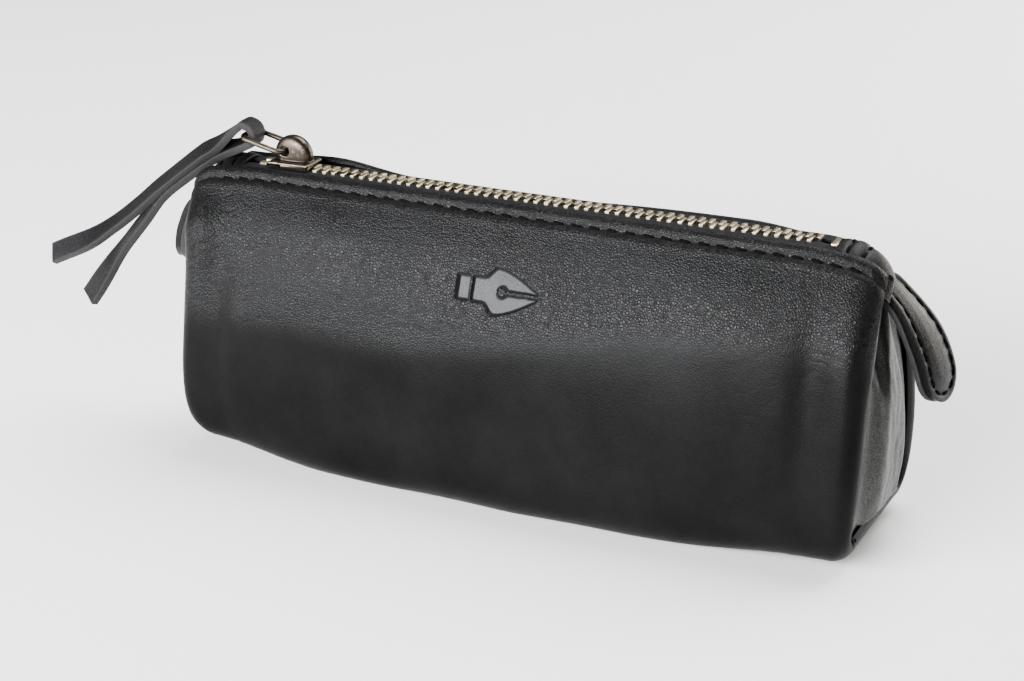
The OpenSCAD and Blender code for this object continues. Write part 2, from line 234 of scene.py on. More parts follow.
def close_edit() -> None:
    """Leaves edit mode."""
    bpy.ops.object.mode_set(mode="OBJECT")


def face_out(piece: bpy.types.Object) -> None:
    """Merges a closed piece's doubles and points its faces outwards."""
    edit(piece)
    bpy.ops.mesh.remove_doubles(threshold=0.000001)
    bpy.ops.mesh.normals_make_consistent(inside=False)
    close_edit()


def turn_over(piece: bpy.types.Object) -> None:
    """Turns every face of an open sheet to its other side."""
    edit(piece)
    bpy.ops.mesh.flip_normals()
    close_edit()


def soften(piece: bpy.types.Object, degrees: float = 40.0) -> None:
    """Shades a piece smooth, except across edges sharper than an angle."""
    alone(piece)
    bpy.ops.object.shade_smooth_by_angle(angle=math.radians(degrees))


def seat(piece: bpy.types.Object) -> None:
    """Puts a piece's place into its mesh and its object at the origin."""
    alone(piece)
    bpy.ops.object.transform_apply(location=True, rotation=True, scale=True)


def sheet_piece(name: str, columns: int, rows: int, place: Place) -> bpy.types.Object:
    """Cuts a flat grid and lays each of its points in place.

    Args:
        name: the piece's name.
        columns: cells along the sheet's first way.
        rows: cells along its second way.
        place: gives points in millimetres for shares from 0 to 1 of both ways.

    Returns:
        The new sheet, with no thickness yet.
    """
    bpy.ops.object.select_all(action="DESELECT")
    bpy.ops.mesh.primitive_grid_add(x_subdivisions=columns, y_subdivisions=rows, size=1.0)
    piece = bpy.context.object
    piece.name = name
    flat = read_points(piece) * MM + 0.5
    write_points(piece, place(flat[:, 0], flat[:, 1]))
    return piece


def thicken(piece: bpy.types.Object, thickness: float, offset: float = -1.0) -> None:
    """Gives a sheet its thickness in millimetres, inwards unless offset says otherwise."""
    modify(piece, "SOLIDIFY", thickness=thickness * MM, offset=offset, use_even_offset=False)


def round_edges(piece: bpy.types.Object, width: float, segments: int = 2) -> None:
    """Rounds a piece's sharp edges by a width in millimetres."""
    modify(piece, "BEVEL", width=width * MM, segments=segments, limit_method="ANGLE",
           angle_limit=math.radians(35), use_clamp_overlap=True)


def cad_copy(node: str, name: str) -> bpy.types.Object:
    """Copies a CAD node's mesh into a piece of its own and merges its loose triangles."""
    piece = bpy.data.objects.new(name, frame["nodes"][node].data.copy())
    bpy.context.scene.collection.objects.link(piece)
    piece.data.materials.clear()
    face_out(piece)
    return piece


def repeated(name: str, base: bpy.types.Object, places: list[Matrix]) -> bpy.types.Object:
    """Sets copies of one small piece at places, as one piece.

    Args:
        name: the new piece's name.
        base: the small piece, modelled at the origin, which is used up.
        places: where each copy goes, in metres.

    Returns:
        One piece that holds every copy.
    """
    points = read_points(base) * MM
    faces = [tuple(face.vertices) for face in base.data.polygons]
    count = len(points)
    every, joined = [], []
    for i, place in enumerate(places):
        turn = np.array(place.to_3x3())
        every.append(points @ turn.T + np.array(place.to_translation()))
        joined += [tuple(v + i * count for v in face) for face in faces]
    mesh = bpy.data.meshes.new(name)
    mesh.from_pydata(np.concatenate(every).tolist(), [], joined)
    piece = bpy.data.objects.new(name, mesh)
    bpy.context.scene.collection.objects.link(piece)
    bpy.data.objects.remove(base)
    face_out(piece)
    return piece


def joined_pieces(name: str, parts: list[bpy.types.Object]) -> bpy.types.Object:
    """Joins parts into the first of them and names it."""
    alone(parts[0])
    for part in parts:
        part.select_set(True)
    bpy.ops.object.join()
    parts[0].name = name
    return parts[0]


# ---------------------------------------------------------------- finishes


@dataclass
class Shader:
    """A material under construction: its nodes and the links between them."""

    name: str
    material: bpy.types.Material = field(init=False)

    def __post_init__(self) -> None:
        """Starts the material with a Principled shader and the piece's own coordinates."""
        self.material = bpy.data.materials.new(self.name)
        self.material.use_nodes = True
        self.tree = self.material.node_tree
        self.base = next(n for n in self.tree.nodes if n.type == "BSDF_PRINCIPLED")
        self.place = self.tree.nodes.new("ShaderNodeTexCoord").outputs["Object"]

    def add(self, kind: str, **inputs: object) -> bpy.types.Node:
        """Adds a node.

        Args:
            kind: the node's Blender type without its ShaderNode start.
            inputs: its inputs by name, with _ for a space; a socket is linked and a value set.
                Names that are no input are the node's own settings.

        Returns:
            The new node.
        """
        node = self.tree.nodes.new("ShaderNode" + kind)
        for name, value in inputs.items():
            if hasattr(node, name):
                setattr(node, name, value)
        for name, value in inputs.items():
            if not hasattr(node, name):
                self.feed(node, name.replace("_", " "), value)
        return node

    def feed(self, node: bpy.types.Node, name: str | int, value: object) -> None:
        """Links a socket to an input, or sets a plain value on it."""
        names = {"Value1": 0, "Value2": 1, "Value3": 2}
        target = node.inputs[names.get(name, name)]
        if isinstance(value, bpy.types.NodeSocket):
            self.tree.links.new(value, target)
        else:
            target.default_value = value

    def grade(self, value: bpy.types.NodeSocket, low: float, high: float, to_low: float,
              to_high: float) -> bpy.types.NodeSocket:
        """Returns a socket that spreads value from one range to another, held at both ends."""
        node = self.add("MapRange", Value=value, From_Min=low, From_Max=high, To_Min=to_low,
                        To_Max=to_high)
        return node.outputs["Result"]

    def sums(self, operation: str, a: object, b: object) -> bpy.types.NodeSocket:
        """Returns the socket of a Math node on two values or sockets."""
        return self.add("Math", operation=operation, Value1=a, Value2=b).outputs["Value"]

    def blend(self, share: object, a: object, b: object) -> bpy.types.NodeSocket:
        """Returns a colour between a and b, by share."""
        node = self.add("Mix", data_type="RGBA")
        node.inputs[0].default_value = 0.5
        self.feed(node, 0, share)
        for index, value in ((6, a), (7, b)):
            self.feed(node, index, value)
        return node.outputs[2]

    def bump(self, height: bpy.types.NodeSocket, depth: float, strength: float = 1.0,
             below: bpy.types.NodeSocket | None = None) -> bpy.types.NodeSocket:
        """Returns a normal from a height map, depth millimetres deep, laid over another normal."""
        node = self.add("Bump", Height=height, Distance=depth * MM, Strength=strength)
        if below is not None:
            self.feed(node, "Normal", below)
        return node.outputs["Normal"]

    def finish(self, **inputs: object) -> bpy.types.Material:
        """Feeds the Principled shader's inputs and returns the material."""
        for name, value in inputs.items():
            self.feed(self.base, name.replace("_", " "), value)
        return self.material


@dataclass(frozen=True)
class Leather:
    """Full-grain dyed leather with a pebble, creases and a waxed, patchy gloss.

    It reads three attributes of the piece, each 0 where there is none: press, where the leather
    is debossed flat; worn, where an edge is rubbed pale; and dull, a painted sheen edge that
    cuts the shine low down, so that the sheen shows only higher up.
    """

    name: str
    deep: tuple[float, float, float] = (0.0024, 0.0023, 0.0023)
    pale: tuple[float, float, float] = (0.0058, 0.0056, 0.0058)
    pebble_mm: float = 0.68
    pebble_depth: float = 0.068
    gloss: tuple[float, float] = (0.28, 0.35)
    shine: float = 0.12

    def make(self) -> bpy.types.Material:
        """Returns the leather's material."""
        s = Shader(self.name)
        warp = s.add("TexNoise", Vector=s.place, Scale=420.0, Detail=2.0)
        bent = s.add("VectorMath", operation="MULTIPLY_ADD")
        s.feed(bent, 0, warp.outputs["Color"])
        s.feed(bent, 1, (0.0006, 0.0006, 0.0006))
        s.feed(bent, 2, s.place)
        pebble = s.add("TexVoronoi", feature="DISTANCE_TO_EDGE", Vector=bent.outputs[0],
                       Scale=1 / (self.pebble_mm * MM))
        grain = s.grade(pebble.outputs["Distance"], 0.0, 0.3, 0.0, 1.0)
        wrap = s.add("TexNoise", Vector=s.place, Scale=55.0, Detail=4.0, Distortion=0.6)
        drift = s.add("VectorMath", operation="MULTIPLY_ADD")
        s.feed(drift, 0, wrap.outputs["Color"])
        s.feed(drift, 1, (0.012, 0.012, 0.012))
        s.feed(drift, 2, s.place)
        lines = s.add("TexVoronoi", feature="DISTANCE_TO_EDGE", Vector=drift.outputs[0],
                      Scale=190.0)
        patches = s.add("TexNoise", Vector=s.place, Scale=24.0, Detail=3.0)
        where = s.grade(patches.outputs["Fac"], 0.5, 0.66, 0.0, 1.0)
        crease = s.grade(lines.outputs["Distance"], 0.0, 0.1, 1.0, 0.0)
        crease = s.sums("MULTIPLY", crease, where)
        tone = s.add("TexNoise", Vector=s.place, Scale=34.0, Detail=6.0, Roughness=0.62)
        press = s.add("Attribute", attribute_name="press").outputs["Fac"]
        worn = s.add("Attribute", attribute_name="worn").outputs["Fac"]
        # dull is a painted sheen edge: it is high on the lower wall and cuts the shine there, in
        # place of a light's reflection ending.
        dull = s.add("Attribute", attribute_name="dull").outputs["Fac"]
        # free is 1 on open grain; the deboss and the painted sheen edge (dull) lower it, and with
        # it the bump and the painted pit shade.
        free = s.grade(press, 0.0, 1.0, 1.0, 0.12)
        free = s.sums("MULTIPLY", free, s.grade(dull, 0.0, 1.0, 1.0, 0.3))
        colour = s.blend(s.grade(tone.outputs["Fac"], 0.32, 0.72, 0.0, 1.0), (*self.deep, 1),
                         (*self.pale, 1))
        # Painted shade in the pebble's valleys: the colour goes towards near black along the cell
        # edges, where the bump sinks.
        painted_pit_shade = s.sums("MULTIPLY", s.grade(grain, 0.0, 0.7, 0.7, 0.0), free)
        colour = s.blend(painted_pit_shade, colour, (0.0008, 0.0008, 0.001, 1))
        colour = s.blend(s.sums("MULTIPLY", press, 0.8), colour, (0.011, 0.011, 0.0125, 1))
        colour = s.blend(s.sums("MULTIPLY", worn, 0.55), colour, (0.03, 0.0285, 0.028, 1))
        rough = s.grade(patches.outputs["Fac"], 0.3, 0.7, self.gloss[0], self.gloss[1])
        rough = s.sums("ADD", rough, s.grade(grain, 0.0, 1.0, 0.1, 0.0))
        rough = s.sums("SUBTRACT", rough, s.sums("MULTIPLY", press, 0.05))
        hide = s.sums("MULTIPLY", s.sums("SUBTRACT", grain, s.sums("MULTIPLY", crease, 1.2)), free)
        normal = s.bump(hide, self.pebble_depth, 1.0, s.bump(tone.outputs["Fac"], 0.12, 0.5))
        # Painted sheen edge: where dull is 1 the shine drops to 0.3 of itself.
        shine = s.grade(dull, 0.0, 1.0, self.shine, 0.3 * self.shine)
        # The shine is also lowered in the painted pit shade.
        shine = s.sums("MULTIPLY", shine, s.grade(painted_pit_shade, 0.0, 0.7, 1.0, 0.55))
        return s.finish(Base_Color=colour, Roughness=rough, Normal=normal,
                        Specular_IOR_Level=shine)


@dataclass(frozen=True)
class CutLeather:
    """The split side and burnished edge of the same leather: felty, paler and dull."""

    name: str
    deep: tuple[float, float, float] = (0.006, 0.0058, 0.006)
    pale: tuple[float, float, float] = (0.018, 0.0172, 0.017)

    def make(self) -> bpy.types.Material:
        """Returns the cut leather's material."""
        s = Shader(self.name)
        fibre = s.add("TexNoise", Vector=s.place, Scale=900.0, Detail=5.0, Roughness=0.7)
        cloud = s.add("TexNoise", Vector=s.place, Scale=90.0, Detail=3.0)
        share = s.sums("MULTIPLY", fibre.outputs["Fac"], cloud.outputs["Fac"])
        colour = s.blend(s.grade(share, 0.15, 0.4, 0.0, 1.0), (*self.deep, 1), (*self.pale, 1))
        return s.finish(Base_Color=colour, Normal=s.bump(fibre.outputs["Fac"], 0.12, 0.7),
                        Roughness=s.grade(cloud.outputs["Fac"], 0.3, 0.7, 0.5, 0.72),
                        Specular_IOR_Level=0.3)


@dataclass(frozen=True)
class OldBrass:
    """Cast brass with a dark patina that is rubbed bright where it stands out."""

    name: str
    patina: tuple[float, float, float]
    bright: tuple[float, float, float]
    wear: float
    rough: tuple[float, float] = (0.28, 0.5)

    def make(self) -> bpy.types.Material:
        """Returns the brass's material."""
        s = Shader(self.name)
        spots = s.add("TexNoise", Vector=s.place, Scale=420.0, Detail=6.0, Roughness=0.65)
        clouds = s.add("TexNoise", Vector=s.place, Scale=120.0, Detail=3.0)
        rubbed = s.add("NewGeometry").outputs["Pointiness"]
        edge = s.grade(rubbed, 0.5, 0.58, 0.0, 1.0)
        mixed = s.sums("ADD", s.sums("MULTIPLY", edge, 0.6),
                       s.grade(spots.outputs["Fac"], 0.62 - self.wear, 0.8 - self.wear, 0.0, 0.8))
        colour = s.blend(s.sums("MINIMUM", mixed, 1.0), (*self.patina, 1), (*self.bright, 1))
        rough = s.grade(clouds.outputs["Fac"], 0.3, 0.7, self.rough[1], self.rough[0])
        return s.finish(Base_Color=colour, Metallic=1.0, Roughness=rough,
                        Normal=s.bump(spots.outputs["Fac"], 0.03, 0.5))


@dataclass(frozen=True)
class Cloth:
    """Woven cloth: ribs that run across X and Y at the thread's own pitch."""

    name: str
    deep: tuple[float, float, float]
    pale: tuple[float, float, float]
    thread_mm: float
    slant: float = 0.0

    def make(self) -> bpy.types.Material:
        """Returns the cloth's material."""
        s = Shader(self.name)
        turned = s.add("Mapping", Vector=s.place, Rotation=(0.0, 0.0, self.slant))
        scale = 1 / (self.thread_mm * MM) / 6.28 * 2
        warp = s.add("TexWave", wave_type="BANDS", bands_direction="X", Scale=scale,
                     Vector=turned.outputs[0], Distortion=0.6, Detail=1.0)
        weft = s.add("TexWave", wave_type="BANDS", bands_direction="Y", Scale=scale,
                     Vector=turned.outputs[0], Distortion=0.6, Detail=1.0)
        rise = s.add("TexWave", wave_type="BANDS", bands_direction="Z", Scale=scale,
                     Vector=turned.outputs[0], Distortion=0.6, Detail=1.0)
        threads = s.sums("MAXIMUM", warp.outputs["Fac"],
                         s.sums("MULTIPLY", weft.outputs["Fac"], rise.outputs["Fac"]))
        fluff = s.add("TexNoise", Vector=s.place, Scale=600.0, Detail=4.0)
        share = s.sums("MULTIPLY", threads, s.grade(fluff.outputs["Fac"], 0.3, 0.7, 0.5, 1.0))
        colour = s.blend(share, (*self.deep, 1), (*self.pale, 1))
        return s.finish(Base_Color=colour, Roughness=s.grade(fluff.outputs["Fac"], 0, 1, 0.7, 0.9),
                        Normal=s.bump(threads, 0.10, 0.8), Specular_IOR_Level=0.1)


@dataclass(frozen=True)
class Thread:
    """Waxed sewing thread with its twist."""

    name: str

    def make(self) -> bpy.types.Material:
        """Returns the thread's material."""
        s = Shader(self.name)
        twist = s.add("TexWave", wave_type="BANDS", bands_direction="DIAGONAL", Scale=700.0,
                      Vector=s.place, Distortion=1.0)
        fluff = s.add("TexNoise", Vector=s.place, Scale=1500.0, Detail=3.0)
        colour = s.blend(s.sums("MULTIPLY", twist.outputs["Fac"], fluff.outputs["Fac"]),
                         (0.0006, 0.0006, 0.0007, 1), (0.0022, 0.0022, 0.0026, 1))
        return s.finish(Base_Color=colour, Specular_IOR_Level=0.02,
                        Normal=s.bump(twist.outputs["Fac"], 0.06, 0.8),
                        Roughness=s.grade(fluff.outputs["Fac"], 0.3, 0.7, 0.42, 0.6))


@dataclass(frozen=True)
class Finishes:
    """Every finish of the case, made once."""

    shell: bpy.types.Material
    panel: bpy.types.Material
    small: bpy.types.Material
    pull: bpy.types.Material
    cut: bpy.types.Material
    teeth: bpy.types.Material
    slider: bpy.types.Material
    tape: bpy.types.Material
    lining: bpy.types.Material
    thread: bpy.types.Material

    @classmethod
    def made(cls) -> "Finishes":
        """Returns the whole set."""
        return cls(
            shell=Leather("shell_leather_grain").make(),
            # The end panels' leather is a lighter, warmer copy of the shell leather: painted warm
            # light from the right, where the panels face.
            panel=Leather("panel_leather_grain", deep=(0.008, 0.0078, 0.0066),
                          pale=(0.022, 0.021, 0.0175), pebble_depth=0.02, shine=0.32).make(),
            small=Leather("small_leather_grain", pebble_mm=0.6,
                          pebble_depth=0.03, gloss=(0.3, 0.42), shine=0.14).make(),
            pull=Leather("pull_leather_grain", deep=(0.003, 0.003, 0.0033),
                         pale=(0.0095, 0.0094, 0.0098), pebble_mm=0.6, pebble_depth=0.04,
                         gloss=(0.42, 0.58), shine=0.16).make(),
            cut=CutLeather("cut_leather_fibre").make(),
            teeth=OldBrass("teeth_brass", (0.075, 0.062, 0.042), (0.5, 0.43, 0.29), 0.13).make(),
            slider=OldBrass("slider_brass_patina", (0.036, 0.029, 0.023), (0.24, 0.195, 0.145),
                            0.06, (0.25, 0.42)).make(),
            tape=Cloth("zip_tape_twill", (0.0025, 0.0025, 0.003), (0.013, 0.013, 0.0145), 0.5,
                       0.6).make(),
            lining=Cloth("lining_weave", (0.05, 0.047, 0.043), (0.14, 0.132, 0.12), 0.6).make(),
            thread=Thread("waxed_thread").make(),
        )


# ---------------------------------------------------------------- the case's form


@dataclass(frozen=True)
class CaseForm:
    """The case's soft outer form, which the leather, lining, zip and stitches all follow."""

    length: float
    height: float
    width: float
    base_w: float = 38.0
    belly_z: float = 18.0
    mouth_w: float = 17.0
    hem_band: float = 5.5
    hem_slope: float = math.radians(52)
    hem_turn_r: float = 1.1
    hem_under: float = 5.0
    bead_r: float = 5.0
    bead_turn: float = math.radians(125)
    corner_from: float = 90.0
    corner_r: float = 14.0
    wall_guide: float = 16.0
    foot_lift: float = 5.0
    right_foot: float = 0.55
    foot_in: float = 5.0
    foot_z: float = 34.0
    left_in: float = 2.2
    front_rise: float = 0.9
    foot_out: float = 3.0
    sag_depth: float = 2.3
    sag_left_rise: float = 1.8
    sag_right: float = 3.4
    back_corner_fall: float = 3.5
    hem_ease: float = 0.6
    foot_ease: float = 0.3
    open_from: float = -90.0
    open_to: float = 73.0
    open_power: float = 0.75

    @property
    def half_l(self) -> float:
        """Half the case's length."""
        return self.length / 2

    @property
    def hem_dir(self) -> np.ndarray:
        """The way up a back hem band, in Y and Z."""
        return np.array([-math.cos(self.hem_slope), math.sin(self.hem_slope)])

    @property
    def hem_out(self) -> np.ndarray:
        """The outward normal of a back hem band, in Y and Z."""
        return np.array([math.sin(self.hem_slope), math.cos(self.hem_slope)])

    @property
    def hem_edge(self) -> np.ndarray:
        """The top outer edge of the back hem, in Y and Z."""
        return np.array([self.mouth_w / 2, self.height])

    def section(self) -> Line:
        """Returns the back half of the shell's section, from the base's middle to the hem edge."""
        half = self.width / 2
        start = self.hem_edge - self.hem_band * self.hem_dir
        foot = self.base_w / 2
        corner = np.array([[foot, 0], [foot + 0.55 * (half - foot), 0],
                           [half, 0.45 * self.belly_z], [half, self.belly_z]])
        guide = self.belly_z + 0.28 * (start[1] - self.belly_z)
        wall = np.array([[half, self.belly_z], [half, guide],
                         start - self.wall_guide * self.hem_dir, start])
        points = [np.array([[0.0, 0.0]])]
        for curve in (corner, wall):
            t = np.linspace(0, 1, 60)[:, None]
            points.append((1 - t) ** 3 * curve[0] + 3 * t * (1 - t) ** 2 * curve[1]
                          + 3 * t * t * (1 - t) * curve[2] + t**3 * curve[3])
        points.append(self.hem_edge[None])
        merged = np.concatenate(points)
        keep = np.concatenate([[True], np.linalg.norm(np.diff(merged, axis=0), axis=1) > 1e-6])
        return Line(merged[keep])

    def folded_section(self) -> Line:
        """Returns the section with the hem's turned edge and the layer folded under it."""
        turn = np.linspace(0, math.pi, 14)[1:, None]
        heart = self.hem_edge - self.hem_turn_r * self.hem_out
        fold = heart + self.hem_turn_r * (np.cos(turn) * self.hem_out + np.sin(turn) * self.hem_dir)
        under = fold[-1] - self.hem_under * self.hem_dir
        return Line(np.concatenate([self.section().points, fold, under[None]]))

    def roll(self, along: np.ndarray) -> tuple[np.ndarray, np.ndarray]:
        """Rolls the leather over at the case's ends.

        Args:
            along: distances from the middle of the case along the leather.

        Returns:
            X of each point, and how far it has gone in from the outer face.
        """
        flat = self.half_l - self.bead_r
        turn = np.maximum(np.abs(along) - flat, 0.0) / self.bead_r
        x = np.where(turn > 0, flat + self.bead_r * np.sin(turn), np.abs(along))
        return np.sign(along) * x, self.bead_r * (1 - np.cos(turn))

    def swell(self, x: np.ndarray, z: np.ndarray, side: Side) -> np.ndarray:
        """Returns how far a wall stands out from its even section at places on it."""
        lean = 0.7 if side is Side.FRONT else -1.9
        high = smooth_step(z / 12.0) * smooth_step((self.height - z) / 14.0)
        ends = smooth_step((self.half_l - np.abs(x)) / 10.0)
        waves = (0.55 * np.sin(x / 31.0 + lean) * np.sin(z / 17.0 + 0.6)
                 + 0.35 * np.sin(x / 17.0 - z / 23.0 + 2.0 * lean)
                 + 0.22 * np.sin(x / 9.5 + z / 13.0 + 3.0 * lean))
        full = 1.3 * hump(z, 48.0, 26.0) * (1 - (x / self.half_l) ** 2)
        valley = -1.3 * hump(np.abs(x), 86.0, 5.0) * hump(z, 42.0, 26.0)
        shoulder = 0.7 * hump(np.abs(x), 93.0, 5.0) * hump(z, 57.0, 14.0)
        left = smooth_step((-x - 76.0) / 18.0) * (
            2.4 * hump(z, 66.0, 8.0) - 2.0 * hump(z, 36.0, 20.0))
        return high * (ends * (waves + full + valley) + shoulder + left)

    def sag(self, x: np.ndarray) -> np.ndarray:
        """Returns how far the back hem hangs below the front one along the case."""
        rise = self.sag_left_rise * hump(x, -62.0, 14.0)
        right = self.sag_right * smooth_step((x - 58.0) / 34.0)
        return self.sag_depth * hump(x, -14.0, 36.0) - rise + right

    def drop(self, x: np.ndarray, z: np.ndarray, side: Side) -> np.ndarray:
        """Returns how far the top comes down, and less than 0 where it rises.

        Both hems fall at the corners. The back one also sags along the case and falls further at
        its ends, and the front one stands a little higher between the caps.

        Args:
            x: places along the case.
            z: heights on the even section, which say how much of the fall a point takes.
            side: which wall.

        Returns:
            The fall of each point.
        """
        past = np.clip(np.abs(x) - self.corner_from, 0.0, self.corner_r - 0.4)
        fall = self.corner_r - np.sqrt(self.corner_r**2 - past**2)
        if side is Side.BACK:
            ends = smooth_step((np.abs(x) - 90.0) / 8.0)
            fall = fall + self.sag(x) + self.back_corner_fall * ends
        else:
            fall = fall - self.front_rise * smooth_step((92.0 - np.abs(x)) / 14.0)
        return fall * smooth_step((z - 38.0) / 38.0)

    def settle(self, points: np.ndarray) -> np.ndarray:
        """Draws the lower corners in and up, where the soft ends stand clear of the table.

        The right corners take only a share of it. The foot of the walls is fuller at mid-length,
        and no point goes below the table.

        Args:
            points: points of the case, in millimetres.

        Returns:
            The same points, settled.
        """
        x, z = points[:, 0], points[:, 2]
        near = smooth_step((np.abs(x) - 52.0) / 46.0) * np.where(x > 0, self.right_foot, 1.0)
        low = np.clip(1 - z / self.foot_z, 0.0, 1.0)
        left = smooth_step((-x - 70.0) / 27.0) * smooth_step((74.0 - z) / 14.0)
        moved = points.copy()
        moved[:, 0] -= np.sign(x) * near * self.foot_in * low**2 - self.left_in * left
        moved[:, 2] += self.foot_lift * near * low**1.5
        middle = smooth_step((82.0 - np.abs(x)) / 50.0) * hump(z, 2.0, 13.0)
        moved[:, 1] *= 1 + self.foot_out * middle / (self.width / 2)
        moved[:, 2] = np.maximum(moved[:, 2], 0.0)
        return moved

    def wall(self, along: np.ndarray, around: np.ndarray, side: Side, depth: float = 0.0,
             extra: np.ndarray | float = 0.0, folded: bool = False) -> np.ndarray:
        """Lays points on one wall of the case.

        Args:
            along: distances from mid-length along the leather.
            around: distances from the base's middle line along the section.
            side: which wall.
            depth: how far under the outer face the points lie.
            extra: how far each point stands out on top of the wall's own swell.
            folded: whether around goes on into the hem's turned edge.

        Returns:
            The points, one row each.
        """
        line = self.folded_section() if folded else self.section()
        hem_at = self.section().length
        spot = line.at(around)
        way = self.section().direction(np.minimum(around, hem_at))
        out = np.stack([way[:, 1], -way[:, 0]], axis=1)
        x, inset = self.roll(along)
        inset = inset * (1 - self.hem_ease * smooth_step((around - hem_at + 26.0) / 26.0)
                         - self.foot_ease * hump(around, 29.5, 9.0))
        lift = self.swell(x, spot[:, 1], side) + extra - inset - depth
        spot = spot + out * lift[:, None]
        z = spot[:, 1] - self.drop(x, spot[:, 1], side)
        return self.settle(np.stack([x, side.value * spot[:, 0], z], axis=1))

    def opening(self, points: np.ndarray) -> np.ndarray:
        """Returns how much of the zip's parting each point takes, from 0 to 1.

        Args:
            points: points of the case at rest, in millimetres.

        Returns:
            A lens along the zip that dies away down the walls and at the zip's ends. It is the
            same wherever the slider stands, and fits the slider only at its full slide.
        """
        share = np.clip((points[:, 0] - self.open_from) / (self.open_to - self.open_from), 0, 1)
        return np.sin(math.pi * share) ** self.open_power * smooth_step(
            (points[:, 2] - 20.0) / 58.0)


def follow_opening(piece: bpy.types.Object, form: CaseForm) -> None:
    """Puts a finished piece's place into its mesh and works out how far each point would open with
    the zip's tape on its side; the share is not used.

    Args:
        piece: the piece, with its last mesh.
        form: the case's form, which says how the mouth opens.
    """
    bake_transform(piece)
    share = form.opening(read_points(piece)).astype(np.float32)


def dress(piece: bpy.types.Object, finish: bpy.types.Material, slot: str, *nodes: str) -> None:
    """Gives a piece its finish, hides the CAD nodes that it stands for and logs its face count."""
    piece.data.materials.clear()
    piece.data.materials.append(finish)
    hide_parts(*nodes)
    LOG.info("%s: %d faces", piece.name, len(piece.data.polygons))


# ---------------------------------------------------------------- leather shell


